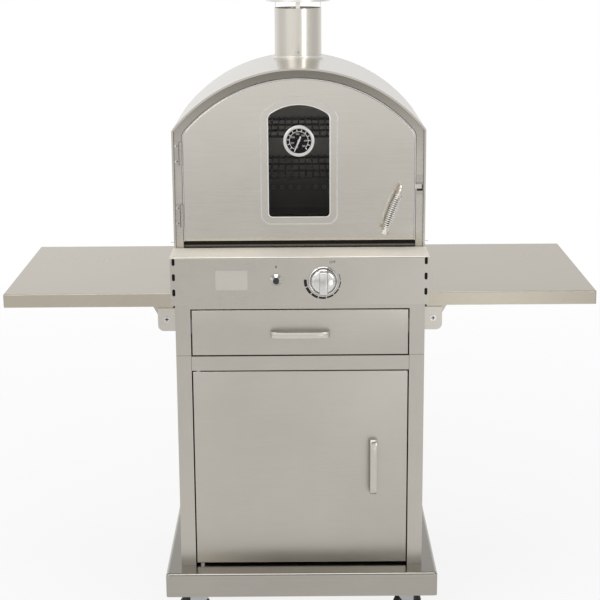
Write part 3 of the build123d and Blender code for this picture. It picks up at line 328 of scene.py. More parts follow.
def mineral_wool(name):
    """Matted yellow-brown fibre."""
    dark, pale = (0.46, 0.40, 0.26), (0.70, 0.64, 0.48)
    finish = Finish(name, roughness=0.95)
    fibre = finish.noise(160, detail=5.0, roughness=0.7)
    finish.set("base_color", finish.ramp(fibre, [(0.3, dark), (0.7, pale)]))
    finish.bump(fibre, distance=0.001, strength=0.8)
    return finish.material


# The finishes, each with its grey level in linear light
cart_level = 0.48
across = brushed_steel("steel_brushed_across", cart_level, "x", roughness=0.38)
upright = brushed_steel("steel_brushed_upright", cart_level, "z", roughness=0.36)
pull_across = brushed_steel("steel_pull_across", 0.62, "x", roughness=0.24)
pull_upright = brushed_steel("steel_pull_upright", 0.56, "z", roughness=0.26)
bracket_steel = brushed_steel("steel_bracket", 0.58, "z", roughness=0.3)
# Fascia: its ledge top is painted paler, as light from above
fascia_steel = ledge_steel("steel_fascia", cart_level * 1.06, ledge=1.0395)
base_steel = brushed_steel("steel_base", cart_level * 0.8, "x", roughness=0.18)
shelf_steel = brushed_steel("steel_shelf", 0.48, "y", roughness=0.26, warmth=0.075)
hood_steel = brushed_steel("steel_hood", 0.55, "y", roughness=0.2)
# Ring: painted shade under the overhanging lip of the hood, darker towards the crown of the arch
ring_steel_painted_shade = smoked_steel("steel_ring_painted_shade", 0.5, dark_level=0.22, plain_height=1.28, dark_height=1.50)
# Sill: painted shade in the gap under the oven door, darkest along its top
sill_steel_painted_shade = smoked_steel("steel_sill_painted_shade", 0.36, dark_level=0.02, plain_height=1.0385, dark_height=1.0440)
hinge_steel = brushed_steel("steel_hinge", 0.44, "z", roughness=0.26)
cap_steel = brushed_steel("steel_cap", 0.86, "x", roughness=0.34, warmth=0.02)
door_steel = brushed_steel("steel_oven_door", 0.62, "x", roughness=0.15)
badge_steel = brushed_steel("steel_badge", 0.58, "x", roughness=0.36)
pipe_steel = brushed_steel("steel_chimney", 0.66, "z", roughness=0.24)
plain = plain_steel("steel_plain", 0.40)
heated = plain_steel("steel_heat_tinted", 0.2, roughness=0.5, warmth=0.1)
# Oven liner: darker towards the bottom
liner_steel = smoked_steel(
    "steel_liner", 0.9, dark_level=0.3, plain_height=1.24, dark_height=1.13, roughness=0.5
)
zinc = plain_steel("zinc_plate", 0.46, roughness=0.36, warmth=-0.01)
chrome = bright_metal("chrome_bright", 0.74, roughness=0.12)
satin = bright_metal("chrome_satin", 0.70, roughness=0.32)
# A real low ridge at the edge of the glass, painted brighter than the door as a highlight
bead_steel_painted_highlight = bright_metal("steel_bead_painted_highlight", 0.86, roughness=0.3)
border_steel = bright_metal("steel_border", 0.66, roughness=0.25)
# Handle rod: painted shade where the coil wraps it
rod_chrome = covered_metal("chrome_rod", 0.74, painted_shade_level=0.05, low=1.104, high=1.179)
wire_chrome = bright_metal("chrome_wire", 0.95, roughness=0.3)
rack_wire = bright_metal("rack_wire", 0.03, roughness=0.35)
wheel_black = moulded("wheel_black", 0.02, roughness=0.55)
button_black = moulded("button_black", 0.02, roughness=0.4)
dial_black = moulded("dial_black", 0.006, roughness=0.6, gloss=0.15)
paint_white = moulded("paint_white", 0.92, roughness=0.5)
print_black = moulded("print_black", 0.012, roughness=0.6, gloss=0.3)
window_glass = clear_glass("glass_window", 0.008, alpha=0.22)
lens_glass = clear_glass("glass_lens", 0.01, alpha=0.1)
brass = machined_brass("brass_machined")
wool = mineral_wool("wool_mineral")

# The finish of every solid, also of those that a finer piece stands for
casters = ("front_left", "front_right", "rear_left", "rear_right")
node_finishes = {
    across: ["front_rails", "drawer_front", "drawer_pull", "cart_door_panels"],
    upright: ["corner_posts", "side_panels", "cart_door_pull"],
    bracket_steel: ["shelf_brackets"],
    fascia_steel: ["fascia"],
    base_steel: ["base_tray"],
    shelf_steel: ["left_shelf", "right_shelf", "oven_deck"],
    hood_steel: ["hood_shell"],
    cap_steel: ["chimney_cap", "chimney_collar"],
    ring_steel_painted_shade: ["front_ring"],
    hinge_steel: ["latch_keeper", "ring_hinges", "door_hinges"],
    door_steel: ["oven_door_panels"],
    pipe_steel: ["chimney_pipe"],
    plain: ["base_channels", "back_panel", "burner_box", "gas_pipe", "oven_back", "drawer_box"],
    heated: ["burner", "heat_plate"],
    liner_steel: ["oven_liner"],
    zinc: [
        "caster_plates", "runner_channels", "runner_slides", "cart_door_pivots", "valve_stem",
        *(f"{place}_caster_fork" for place in casters),
    ],
    chrome: ["knob_bezel", "igniter_body", "knob", "frame_fasteners"],
    rod_chrome: ["door_handle"],
    wire_chrome: ["handle_coil"],
    satin: ["thermometer_case"],
    rack_wire: ["oven_racks"],
    badge_steel: ["badge_plate"],
    wheel_black: [f"{place}_caster_wheel" for place in casters],
    button_black: ["door_catch", "igniter_button"],
    window_glass: ["door_glass"],
    lens_glass: ["thermometer_lens"],
    brass: ["gas_valve"],
    wool: ["insulation"],
    paint_white: ["needle"],
}
for finish, names in node_finishes.items():
    for name in names:
        mesh = frame["nodes"][name].data
        mesh.materials.clear()
        mesh.materials.append(finish)


def hang(name, mesh, finish, body, replaced=()):
    """Give a finished mesh its material and hang it on its body."""
    mesh.materials.clear()
    mesh.materials.append(finish)
    piece = bpy.data.objects.new(name, mesh)
    bpy.context.scene.collection.objects.link(piece)
    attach(piece, body)
    if replaced:
        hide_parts(*replaced)


def close_up(builder):
    """Merge doubled points and turn all faces outwards."""
    bmesh.ops.remove_doubles(builder, verts=builder.verts, dist=weld_distance)
    bmesh.ops.recalc_face_normals(builder, faces=builder.faces)


def settle(name, builder, finish, body, replaced=(), crease=35):
    """Close a modelled piece, smooth it up to a crease angle and hang it."""
    close_up(builder)
    mesh = bpy.data.meshes.new(name)
    builder.to_mesh(mesh)
    builder.free()
    mesh.shade_smooth()
    mesh.set_sharp_from_angle(angle=math.radians(crease))
    hang(name, mesh, finish, body, replaced)


def round_off(builder, places, size, segments=3, affect="EDGES"):
    """Round edges, or corners of a flat face."""
    bmesh.ops.bevel(
        builder, geom=places, offset=size, affect=affect, segments=segments, profile=0.5, material=-1
    )


def block(builder, low, high, edge=0.0, segments=3, turn=None):
    """A box between two corners with rounded edges, turned by a matrix if one is given."""
    size = [b - a for a, b in zip(low, high)]
    middle = [(a + b) / 2 for a, b in zip(low, high)]
    place = Matrix.Translation(middle) @ Matrix.Diagonal((*size, 1))
    made = bmesh.ops.create_cube(builder, size=1.0, matrix=place if turn is None else turn @ place)
    if edge:
        round_off(builder, list({e for v in made["verts"] for e in v.link_edges}), edge, segments)


def twin_blocks(builder, inner, outer, front, back, bottom, top):
    """Two boxes, one each side of the middle, between two distances from it."""
    for side in (-1, 1):
        low_x, high_x = sorted((side * inner, side * outer))
        block(builder, (low_x, front, bottom), (high_x, back, top))


def turned(builder, profile, centre, axis=(0, 1, 0), steps=64, closed=False):
    """A lathe shape from (radius, distance along the axis) pairs in millimetres."""
    axis = Vector(axis).normalized()
    side = axis.orthogonal().normalized()
    points = [
        builder.verts.new(Vector(centre) + (axis * along + side * radius) * millimetre)
        for radius, along in profile
    ]
    pairs = list(zip(points, points[1:]))
    if closed:
        pairs.append((points[-1], points[0]))
    edges = [builder.edges.new(pair) for pair in pairs]
    bmesh.ops.spin(
        builder, geom=points + edges, cent=centre, axis=axis, angle=full_turn, steps=steps, use_merge=True
    )


def new_points(made):
    """The points among what an extrusion made."""
    return [part for part in made["geom"] if isinstance(part, bmesh.types.BMVert)]


def corners(node):
    low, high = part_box(node)
    return Vector(low), Vector(high)


def middle_of(node):
    low, high = corners(node)
    return (low + high) / 2


def printed(name, text, size, place, finish, body):
    """Small flat lettering that faces the front."""
    half_thickness = 0.00004
    curve = bpy.data.curves.new(name, "FONT")
    curve.body = text
    curve.size = size
    curve.align_x = "CENTER"
    curve.align_y = "CENTER"
    curve.extrude = half_thickness
    holder = bpy.data.objects.new(name, curve)
    bpy.context.scene.collection.objects.link(holder)
    bpy.context.view_layer.update()
    mesh = bpy.data.meshes.new_from_object(holder)
    bpy.data.objects.remove(holder)
    facing = Matrix.Rotation(math.radians(90), 4, "X")
    mesh.transform(Matrix.Translation(place) @ facing)
    hang(name, mesh, finish, body)


# Drawer face and cart door, folded sheets with softly rounded edges
fold_round = 0.002
for node, name, body in (
    ("drawer_front", "drawer_face", "drawer"),
    ("cart_door_panels", "cart_door_face", "cart_door"),
):
    builder = bmesh.new()
    block(builder, *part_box(node), fold_round)
    settle(name, builder, across, body, [node])


def bow_pull(name, node, span, finish, body):
    """A flat bar with a gentle bow, whose ends turn back to the panel."""
    thickness, squareness, segments = 0.0035, 4.5, 56
    rim_angle, rim_share = 1.2, 0.3
    low, high = corners(node)
    middle = (low + high) / 2
    across_way = span.cross((0, 1, 0))
    half = abs((high - low).dot(span)) / 2
    width = abs((high - low).dot(across_way))
    rise = high.y - low.y
    builder = bmesh.new()
    bmesh.ops.create_grid(builder, x_segments=segments, y_segments=1, size=0.5)
    for vertex in builder.verts:
        angle = math.pi * (vertex.co.x + 0.5)
        along = math.copysign(abs(math.cos(angle)) ** (2 / squareness), math.cos(angle)) * half
        out = abs(math.sin(angle)) ** (2 / squareness) * rise
        side = vertex.co.y * width
        vertex.co = Vector((middle.x, high.y - out, middle.z)) + span * along + across_way * side
    close_up(builder)
    front = max(builder.faces, key=lambda face: -face.calc_center_median().y)
    inward = thickness if front.normal.y < 0 else -thickness
    bmesh.ops.solidify(builder, geom=builder.faces[:], thickness=inward)
    rims = [e for e in builder.edges if len(e.link_faces) == 2 and e.calc_face_angle() > rim_angle]
    round_off(builder, rims, thickness * rim_share, 2)
    settle(name, builder, finish, body, [node])


bow_pull("drawer_bow", "drawer_pull", Vector((1, 0, 0)), pull_across, "drawer")
bow_pull("cart_door_bow", "cart_door_pull", Vector((0, 0, 1)), pull_upright, "cart_door")


def door_rim():
    """A bright folded edge round the sides and the arch of the oven door."""
    arch_radius, shoulder = 0.401, 0.030
    arch_steps, shoulder_steps = 64, 8
    front, depth, thickness = -0.1811, 0.0016, 0.0022
    low, high = corners("oven_door_panels")
    crown = Vector((0, front, high.z - arch_radius))
    inset = high.x - shoulder
    rise = math.sqrt((arch_radius - shoulder) ** 2 - inset**2)
    bend = math.atan2(rise, inset)
    builder = bmesh.new()
    tip = builder.verts.new((low.x, front, low.z))
    tip = bmesh.ops.extrude_vert_indiv(builder, verts=[tip])["verts"][0]
    tip.co.z = crown.z + rise
    for centre, angle, steps in (
        (crown + Vector((-inset, 0, rise)), bend, shoulder_steps),
        (crown, math.pi - 2 * bend, arch_steps),
        (crown + Vector((inset, 0, rise)), bend, shoulder_steps),
    ):
        made = bmesh.ops.spin(builder, geom=[tip], cent=centre, axis=(0, 1, 0), angle=angle, steps=steps)
        tip = made["geom_last"][0]
    tip = bmesh.ops.extrude_vert_indiv(builder, verts=[tip])["verts"][0]
    tip.co.z = low.z
    made = bmesh.ops.extrude_edge_only(builder, edges=builder.edges[:])
    bmesh.ops.translate(builder, verts=new_points(made), vec=(0, depth, 0))
    close_up(builder)
    top = max(builder.faces, key=lambda face: face.calc_center_median().z)
    outward = -thickness if top.normal.z > 0 else thickness
    bmesh.ops.solidify(builder, geom=builder.faces[:], thickness=outward)
    settle("door_rim", builder, satin, "oven_door")


door_rim()


def window_bead(name, lap, lower_corner, ridge, finish):
    """A low ridge round the window, outside the edge of the glass, or inside it with a negative lap."""
    glass_rise, upper_corner, height = 0.039, 0.010, 0.0004
    arch_steps, corner_steps = 16, 8
    low, high = corners("door_glass")
    half, bottom, top, rise = high.x + lap, low.z - lap, high.z + lap, glass_rise + lap
    face = corners("oven_door_panels")[0].y
    radius = (half**2 + rise**2) / (2 * rise)
    centre = (0, face, top - radius)
    arch_angle = 2 * math.asin(half / radius)
    builder = bmesh.new()
    foot = [builder.verts.new((side * half, face, bottom)) for side in (-1, 1)]
    shoulder = builder.verts.new((half, face, top - rise))
    bmesh.ops.spin(
        builder, geom=[shoulder], cent=centre, axis=(0, -1, 0), angle=arch_angle, steps=arch_steps
    )
    arch = sorted((v for v in builder.verts if v not in foot), key=lambda vertex: -vertex.co.x)
    builder.faces.new([*foot, *arch])
    round_off(builder, foot, lower_corner, corner_steps, "VERTICES")
    round_off(builder, [arch[0], arch[-1]], upper_corner, corner_steps, "VERTICES")
    plate = builder.faces[:][0]
    plate.normal_update()
    if plate.normal.y > 0:
        plate.normal_flip()
    for depth in (height, -height):
        bmesh.ops.inset_region(
            builder, faces=[plate], thickness=ridge, depth=depth, use_boundary=True, use_even_offset=True
        )
    bmesh.ops.delete(builder, geom=[plate], context="FACES_ONLY")
    bmesh.ops.bridge_loops(builder, edges=[e for e in builder.edges if e.is_boundary])
    settle(name, builder, finish, "oven_door", crease=60)


window_bead("border_bead", lap=0.010, lower_corner=0.028, ridge=0.0018, finish=border_steel)
# The inner ridge's bright finish is a painted highlight along the glass edge
window_bead("window_bead", lap=-0.0097, lower_corner=0.012, ridge=0.0011, finish=bead_steel_painted_highlight)


def coil_grip():
    """A wire wound in a barrel round the handle rod."""
    lean = math.radians(20.2)
    pivot = Vector((0.271, 0, 1.211))
    wire, wire_sides, end_radius, swell = 0.0026, 10, 0.0066, 0.0042
    start, length, turns, turn_steps = 0.0278, 0.0944, 17, 20
    cap_radius = 0.010
    axis = Vector((-math.sin(lean), 0, -math.cos(lean)))
    side = Vector((math.cos(lean), 0, -math.sin(lean)))
    begin = Vector((pivot.x, corners("door_handle")[0].y + cap_radius, pivot.z)) + axis * start
    facing = Matrix((side, axis, side.cross(axis))).transposed().to_4x4()
    builder = bmesh.new()
    made = bmesh.ops.create_circle(
        builder,
        cap_ends=False,
        segments=wire_sides,
        radius=wire / 2,
        matrix=Matrix.Translation(begin + side * end_radius) @ facing,
    )
    ring = made["verts"]
    bmesh.ops.spin(
        builder,
        geom=ring + list({e for v in ring for e in v.link_edges}),
        cent=begin,
        axis=axis,
        dvec=axis * (length / (turns * turn_steps)),
        angle=full_turn * turns,
        steps=turns * turn_steps,
    )
    for vertex in builder.verts:
        away = vertex.co - begin
        along = away.dot(axis)
        share = min(max(along / length, 0.0), 1.0)
        vertex.co += (away - axis * along).normalized() * (swell * math.sin(math.pi * share))
    bmesh.ops.holes_fill(builder, edges=[e for e in builder.edges if e.is_boundary])
    settle("coil_grip", builder, wire_chrome, "oven_handle", ["handle_coil"], 80)


coil_grip()


def caster_wheels():
    """Wheels with a rounded tread, a dished web and a raised hub."""
    half_profile = [
        (4.2, -13.5), (11.0, -13.5), (14.0, -12.6), (15.0, -11.0), (16.0, -7.5), (31.0, -7.0),
        (33.5, -8.0), (35.0, -11.2), (37.0, -12.0), (41.0, -12.0), (43.8, -10.2), (45.0, -6.5),
    ]
    profile = half_profile + [(radius, -along) for radius, along in reversed(half_profile)]
    for joint in frame["record"]["behaviour"]["joints"]:
        if joint["name"].endswith("wheel_spin"):
            place = joint["name"].removesuffix("_wheel_spin")
            node = f"{place}_caster_wheel"
            builder = bmesh.new()
            turned(builder, profile, joint["pos_m"], joint["axis"], steps=56, closed=True)
            settle(f"{place}_tread", builder, wheel_black, joint["child"], [node])


caster_wheels()


def gas_knob():
    """A domed skirt with a rounded grip bar."""
    skirt_depth = 0.010
    skirt_profile = [(0, 0), (24, 0.2), (29, 1.4), (32, 4.0), (33, 6.5), (33, 9.6), (32.4, 10), (0, 10)]
    grip_half_width, grip_half_length, grip_round, grip_root = 0.011, 0.030, 0.0042, 0.004
    low, high = corners("knob")
    centre = middle_of("knob")
    skirt_front = high.y - skirt_depth
    builder = bmesh.new()
    turned(builder, skirt_profile, (centre.x, skirt_front, centre.z))
    block(
        builder,
        (centre.x - grip_half_width, low.y, centre.z - grip_half_length),
        (centre.x + grip_half_width, skirt_front + grip_root, centre.z + grip_half_length),
        grip_round,
        segments=5,
    )
    settle("gas_knob", builder, chrome, "control_knob", ["knob"])


gas_knob()


def knob_ring():
    """The bright rounded ring that the knob turns in."""
    profile = [
        (34.5, 7), (34.5, 1.4), (35.2, 0.4), (36.4, 0), (38.0, 0.7), (39.2, 2.6), (39.5, 4.5), (39.5, 7)
    ]
    centre = middle_of("knob")
    builder = bmesh.new()
    turned(builder, profile, (centre.x, corners("knob_bezel")[0].y, centre.z), closed=True)
    settle("knob_ring", builder, chrome, "cart", ["knob_bezel"])


knob_ring()

# Thermometer: the place of its dial, and where its scale starts and how far it goes, in degrees
case_low, case_high = corners("thermometer_case")
dial_z = middle_of("thermometer_case").z
dial_recess = 0.005
dial_front = case_low.y + dial_recess
scale_start, scale_sweep = 203, 294


def thermometer_bezel():
    """A flat satin bezel and its case, with the nut and the stem behind."""
    stem_end = (case_high.y - case_low.y) / millimetre
    profile = [
        (33, 5.0), (33, 0.7), (33.5, 0.15), (34.2, 0), (39.4, 0.2), (40.8, 0.8), (41.7, 2.0), (42, 3.6),
        (42, 15.0), (41.2, 16.0), (9, 16.0), (9, 26), (3.5, 26), (3.5, stem_end - 2), (2.0, stem_end),
        (0, stem_end),
    ]
    builder = bmesh.new()
    turned(builder, profile, (0, case_low.y, dial_z))
    settle("thermometer_bezel", builder, satin, "oven_door", ["thermometer_case"])


thermometer_bezel()


def dial_face():
    """The black disc behind the scale."""
    profile = [(0, 0), (32.6, 0), (33, 0.4), (33, 1), (0, 1)]
    builder = bmesh.new()
    turned(builder, profile, (0, dial_front, dial_z))
    settle("dial_face", builder, dial_black, "oven_door")


dial_face()


def dial_scale():
    """A white arc with ticks outside it and numbers inside it."""
    arc_radius, arc_width, arc_steps = 0.0240, 0.0016, 72
    tick_count, tick_end, tick_width = 13, 0.0314, 0.0024
    number_every, number_step, number_radius, number_size = 2, 100, 0.0185, 0.0066
    proud, sunk, number_proud = 0.00015, 0.0002, 0.0001
    centre = Vector((0, 0, dial_z))
    tick_start = arc_radius + arc_width
    builder = bmesh.new()
    line = [
        builder.verts.new((0, dial_front - proud, dial_z + radius)) for radius in (arc_radius, tick_start)
    ]
    line.append(builder.edges.new(line))
    bmesh.ops.rotate(
        builder, verts=line[:2], cent=centre, matrix=Matrix.Rotation(math.radians(scale_start), 3, "Y")
    )
    bmesh.ops.spin(
        builder, geom=line, cent=centre, axis=(0, 1, 0), angle=math.radians(scale_sweep), steps=arc_steps
    )
    for index in range(tick_count):
        angle = scale_start + scale_sweep * index / (tick_count - 1)
        spin = Matrix.Rotation(math.radians(angle), 4, "Y")
        block(
            builder,
            (-tick_width / 2, dial_front - proud, tick_start),
            (tick_width / 2, dial_front + sunk, tick_end),
            turn=Matrix.Translation(centre) @ spin,
        )
        if index % number_every == 0:
            value = (index // number_every + 1) * number_step
            out = spin.to_3x3() @ Vector((0, 0, number_radius))
            place = Vector((0, dial_front - number_proud, dial_z)) + out
            printed(
                f"dial_{value}", str(value), number_size, place, paint_white, "oven_door"
            )
    settle("dial_ticks", builder, paint_white, "oven_door")


dial_scale()


def dial_needle():
    """A white blade that tapers both ways from its pivot, and the cap over the pivot."""
    half_widths = ((-0.013, 0.0018), (0.0, 0.0026), (0.027, 0.0013))
    cap_profile = [(0, 0), (2.2, 0.15), (3.2, 0.7), (3.4, 1.1), (0, 1.1)]
    cap_proud = 0.0009
    front, back = (end.y for end in corners("needle"))
    outline = [(half, along) for along, half in half_widths]
    outline += [(-half, along) for along, half in reversed(half_widths)]
    builder = bmesh.new()
    plate = builder.faces.new(builder.verts.new((x, front, z)) for x, z in outline)
    made = bmesh.ops.extrude_face_region(builder, geom=[plate])
    bmesh.ops.translate(builder, verts=new_points(made), vec=(0, back - front, 0))
    lean = Matrix.Translation((0, 0, dial_z)) @ Matrix.Rotation(math.radians(scale_start), 4, "Y")
    bmesh.ops.transform(builder, matrix=lean, verts=builder.verts)
    settle("needle_blade", builder, paint_white, "thermometer_needle", ["needle"])

    builder = bmesh.new()
    turned(builder, cap_profile, (0, front - cap_proud, dial_z))
    settle("needle_cap", builder, paint_white, "thermometer_needle")


dial_needle()

# Printed signs on the fascia: the face that carries them and how far the ink stands out of it
fascia_front = corners("fascia")[0].y
sign_ink = 0.00006
knob_centre = middle_of("knob_bezel")


def heat_scale():
    """A row of bars round the foot of the knob that get thinner along the row."""
    bar_count, bar_steps, bar_inner, bar_thickness, bar_thinning = 8, 6, 0.0435, 0.0080, 0.0009
    first_angle, bar_angle, bar_pitch = 175.5, 23, 26.5
    centre = Vector((knob_centre.x, fascia_front - sign_ink, knob_centre.z))
    builder = bmesh.new()
    for index in range(bar_count):
        bar_outer = bar_inner + bar_thickness - bar_thinning * index
        begin = math.radians(first_angle + index * bar_pitch)
        way = Vector((math.cos(begin), 0, math.sin(begin)))
        points = [builder.verts.new(centre + way * radius) for radius in (bar_inner, bar_outer)]
        bmesh.ops.spin(
            builder,
            geom=points + [builder.edges.new(points)],
            cent=centre,
            axis=(0, -1, 0),
            angle=math.radians(bar_angle),
            steps=bar_steps,
        )
    settle("heat_scale", builder, print_black, "cart")


heat_scale()


def spark_sign():
    """A small jagged spark over the igniter's button."""
    rise, size = 0.034, 0.011
    outline = ((0.10, 0.50), (-0.28, -0.06), (-0.02, -0.06), (-0.12, -0.50), (0.28, 0.10), (0.03, 0.10))
    igniter = middle_of("igniter_body")
    centre = Vector((igniter.x, fascia_front - sign_ink, igniter.z + rise))
    builder = bmesh.new()
    builder.faces.new(builder.verts.new(centre + Vector((x, 0, z)) * size) for x, z in outline)
    settle("spark_sign", builder, print_black, "cart")


spark_sign()

# The word for the knob's rest position
off_aside, off_rise, off_size = 0.024, 0.050, 0.0095
off_place = (knob_centre.x + off_aside, fascia_front - sign_ink, knob_centre.z + off_rise)
printed("off_sign", "OFF", off_size, off_place, print_black, "cart")


def fascia_slots():
    """Dark strips close behind the upright slots at both ends of the fascia, painted shade inside the
    slots.
    """
    inner, outer, front, back, bottom, top = 0.3262, 0.3380, -0.3030, -0.3015, 0.934, 1.038
    builder = bmesh.new()
    twin_blocks(builder, inner, outer, front, back, bottom, top)
    settle("slot_shade_strips", builder, dial_black, "cart")


fascia_slots()

sill_top = 1.0538


def sill_shade():
    """A face on the sill under the oven door, painted dark along its top as the shade in the gap under
    the door.
    """
    half, front, back, bottom = 0.331, -0.1534, -0.1531, 1.0402
    builder = bmesh.new()
    block(builder, (-half, front, bottom), (half, back, sill_top))
    settle("sill_shade", builder, sill_steel_painted_shade, "cart")


sill_shade()


def ring_seams():
    """Thin seams over the feet of the ring, level with the top of the sill."""
    inner, outer, thick, proud = 0.3345, 0.3465, 0.0009, 0.00006
    face = corners("front_ring")[0].y
    builder = bmesh.new()
    twin_blocks(builder, inner, outer, face - proud, face + proud, sill_top, sill_top + thick)
    settle("ring_seams", builder, print_black, "cart")


ring_seams()


def back_eyelets():
    """Pale rims round the row of holes low in the back wall of the oven."""
    count, pitch, level, wall = 13, 0.025, 1.124, 0.0015
    rim = [(4, 0), (6, 0), (6, -0.8), (5, -1.2), (4, -0.8)]
    inner = corners("oven_liner")[1].y - wall
    builder = bmesh.new()
    for index in range(count):
        place = ((index - (count - 1) / 2) * pitch, inner, level)
        turned(builder, rim, place, steps=16, closed=True)
    settle("back_eyelets", builder, paint_white, "cart")


back_eyelets()


def keeper_slot():
    """A dark patch in the keeper round the latch tongue, painted shade for the slot that the tongue lies
    in.
    """
    left, right, bottom, top = 0.3145, 0.3300, 1.1905, 1.2090
    plate, proud, sunk = 0.0008, 0.0001, 0.0002
    front = corners("front_ring")[0].y - plate
    builder = bmesh.new()
    block(builder, (left, front - proud, bottom), (right, front + sunk, top))
    settle("keeper_slot", builder, print_black, "cart")


keeper_slot()


def frame_seams():
    """Thin joint lines: across the front posts, and where the rail meets them."""
    thick, proud = 0.0008, 0.00005
    inner, outer, rail_bottom, rail_top = 0.289, 0.329, 0.7325, 0.7730
    face = corners("corner_posts")[0].y
    front, back = face - proud, face + proud
    builder = bmesh.new()
    twin_blocks(builder, inner, outer, front, back, rail_top, rail_top + thick)
    twin_blocks(builder, inner - thick / 2, inner + thick / 2, front, back, rail_bottom, rail_top)
    settle("frame_seams", builder, print_black, "cart")


frame_seams()


def rest_pads():
    """Small rubber pads on the brackets, close under the inner corners of the shelves."""
    inner, outer, bottom, top, depth = 0.3292, 0.3352, 0.9002, 0.9057, 0.003
    bracket_front, bracket_back = corners("shelf_brackets")[0].y, 0.319
    builder = bmesh.new()
    for front in (bracket_front, bracket_back - depth):
        twin_blocks(builder, inner, outer, front, front + depth, bottom, top)
    settle("rest_pads", builder, wheel_black, "cart")


rest_pads()


def chimney_screw():
    """A small domed screw low on the front of the chimney pipe."""
    level, proud = 1.534, 0.0016
    profile = [(0, 0), (1.6, 0.2), (3.0, 0.8), (3.6, 1.8), (0, 2.0)]
    front = corners("chimney_pipe")[0].y
    builder = bmesh.new()
    turned(builder, profile, (0, front - proud, level), steps=24)
    settle("chimney_screw", builder, zinc, "cart")


chimney_screw()


def screw_recesses():
    """Black crosses on the visible screw and bolt heads, painted shade in their cross recesses."""
    hinge_x, hinge_front, hinge_levels = -0.324, -0.1785, (1.1063, 1.1477, 1.2733, 1.3147)
    keeper_x, keeper_front, keeper_z = 0.322, -0.1773, 1.2223
    bolt_x, bolt_front, bolt_z = 0.352, corners("frame_fasteners")[0].y, 0.870
    screw_cross, bolt_cross, slim_share = 0.0045, 0.010, 0.26
    proud, sunk = 0.00005, 0.0002
    heads = [(hinge_x, hinge_front, z, screw_cross) for z in hinge_levels]
    heads.append((keeper_x, keeper_front, keeper_z, screw_cross))
    heads += [(side * bolt_x, bolt_front, bolt_z, bolt_cross) for side in (-1, 1)]
    builder = bmesh.new()
    for x, y, z, size in heads:
        slim = size * slim_share
        for wide, tall in ((size, slim), (slim, size)):
            low = (x - wide / 2, y - proud, z - tall / 2)
            high = (x + wide / 2, y + sunk, z + tall / 2)
            block(builder, low, high)
    settle("screw_recesses", builder, print_black, "cart")


screw_recesses()

# Camera at the photograph's place
camera_data = bpy.data.cameras.new("camera")
camera_data.sensor_width = 36.0
camera_data.lens = 91.84
camera_data.clip_end = 60.0
camera = bpy.data.objects.new("camera", camera_data)
camera_place = Vector((-0.004, -4.216, 1.874))
camera_right = Vector((0.99998, -0.00260, -0.00620))
camera_up = Vector((0.00663, 0.23609, 0.97171))
camera_back = Vector((-0.00106, -0.97173, 0.23610))
camera_turn = Matrix((camera_right, camera_up, camera_back)).transposed().to_4x4()
camera.matrix_world = Matrix.Translation(camera_place) @ camera_turn
bpy.context.scene.collection.objects.link(camera)
bpy.context.scene.camera = camera
bpy.context.scene.view_settings.view_transform = "Standard"


def pale_floor(radius):
    """A white floor that keeps a soft shadow and fades out into the white room."""
    camera_share, metal_share = 0.85, 0.5
    fade_start, fade_end = 0.25, 0.9
    builder = bmesh.new()
    bmesh.ops.create_circle(builder, cap_ends=True, segments=64, radius=radius)
    mesh = bpy.data.meshes.new("floor")
    builder.to_mesh(mesh)
    builder.free()
    floor = bpy.data.objects.new("floor", mesh)
    bpy.context.scene.collection.objects.link(floor)
    finish = Finish("floor_white", base_color=(0.86, 0.86, 0.85), roughness=0.9)
    painted = Wire(finish, finish.shader.outputs[0])
    white = Wire(finish, finish.node("ShaderNodeEmission", Strength=1.0).outputs[0])
    clear = Wire(finish, finish.node("ShaderNodeBsdfTransparent").outputs[0])
    camera_rays, metal_rays = finish.seeing_rays()
    seen = finish.mixed(camera_rays * camera_share + metal_rays * metal_share, painted, white)
    away = finish.node("ShaderNodeVectorMath", {"operation": "LENGTH"}, _0=finish.place)
    reach = Wire(finish, away.outputs["Value"]) * (1 / radius)
    fade = finish.ramp(reach, [(fade_start, (0, 0, 0)), (fade_end, (1, 1, 1))])
    output = finish.tree.nodes["Material Output"]
    finish.join(output.inputs["Surface"], finish.mixed(fade, seen, clear))
    mesh.materials.append(finish.material)


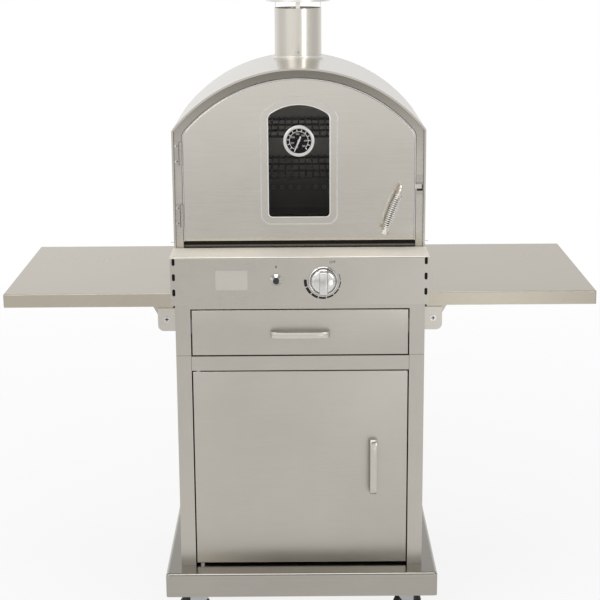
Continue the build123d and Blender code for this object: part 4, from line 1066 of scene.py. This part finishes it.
def grey_stops(tones):
    return [(place, (tone, tone, tone)) for place, tone in tones]


# Tones of the room from straight down to straight up, and from left to right
ceiling_tones = [
    (0.0, 0.7), (0.36, 0.82), (0.385, 0.78), (0.403, 0.56), (0.447, 1.0), (0.64, 1.0), (0.74, 0.42),
    (0.92, 0.42),
]
side_tones = [
    (0.0, 0.8), (0.1, 1.0), (0.42, 1.0), (0.52, 0.94), (0.62, 0.9), (0.75, 0.95), (0.9, 0.85), (1.0, 0.68)
]


def studio_world(level):
    """A soft even room, white to the camera; metal and glass see a duller ceiling and sides."""
    world = bpy.data.worlds.new("studio")
    bpy.context.scene.world = world
    world.use_nodes = True
    graph = Graph(world.node_tree)
    camera_rays, metal_rays = graph.seeing_rays()
    way = Wire(graph, graph.node("ShaderNodeTexCoord").outputs["Generated"])
    aside, _, height = graph.parts_of(way)
    ceiling = graph.ramp(height * 0.5 + 0.5, grey_stops(ceiling_tones))
    sides = graph.ramp(aside * 0.5 + 0.5, grey_stops(side_tones))
    room = ceiling * sides
    strength = level + camera_rays * (1 - level) + metal_rays * (room - level)
    background = graph.tree.nodes["Background"]
    background.inputs["Color"].default_value = (1, 1, 1, 1)
    graph.join(background.inputs["Strength"], strength)


def soft_light(name, place, target, size, power):
    """A square soft box that faces a target."""
    data = bpy.data.lights.new(name, "AREA")
    data.energy = power
    data.size = size
    lamp = bpy.data.objects.new(name, data)
    lamp.visible_camera = False
    lamp.location = place
    lamp.rotation_euler = (Vector(target) - Vector(place)).to_track_quat("-Z", "Y").to_euler()
    bpy.context.scene.collection.objects.link(lamp)


pale_floor(radius=5.0)
studio_world(level=0.6)
soft_light("key", place=(-2.6, -3.2, 3.6), target=(0, 0, 0.9), size=2.4, power=50)
soft_light("fill", place=(2.1, -3.4, 1.75), target=(0, 0, 1.2), size=1.3, power=12)
soft_light("top", place=(0.0, -0.8, 4.2), target=(0, 0, 1.0), size=2.6, power=40)
soft_light("low", place=(0.92, -3.5, 0.15), target=(0.5, -0.33, 0.92), size=0.5, power=0.9)
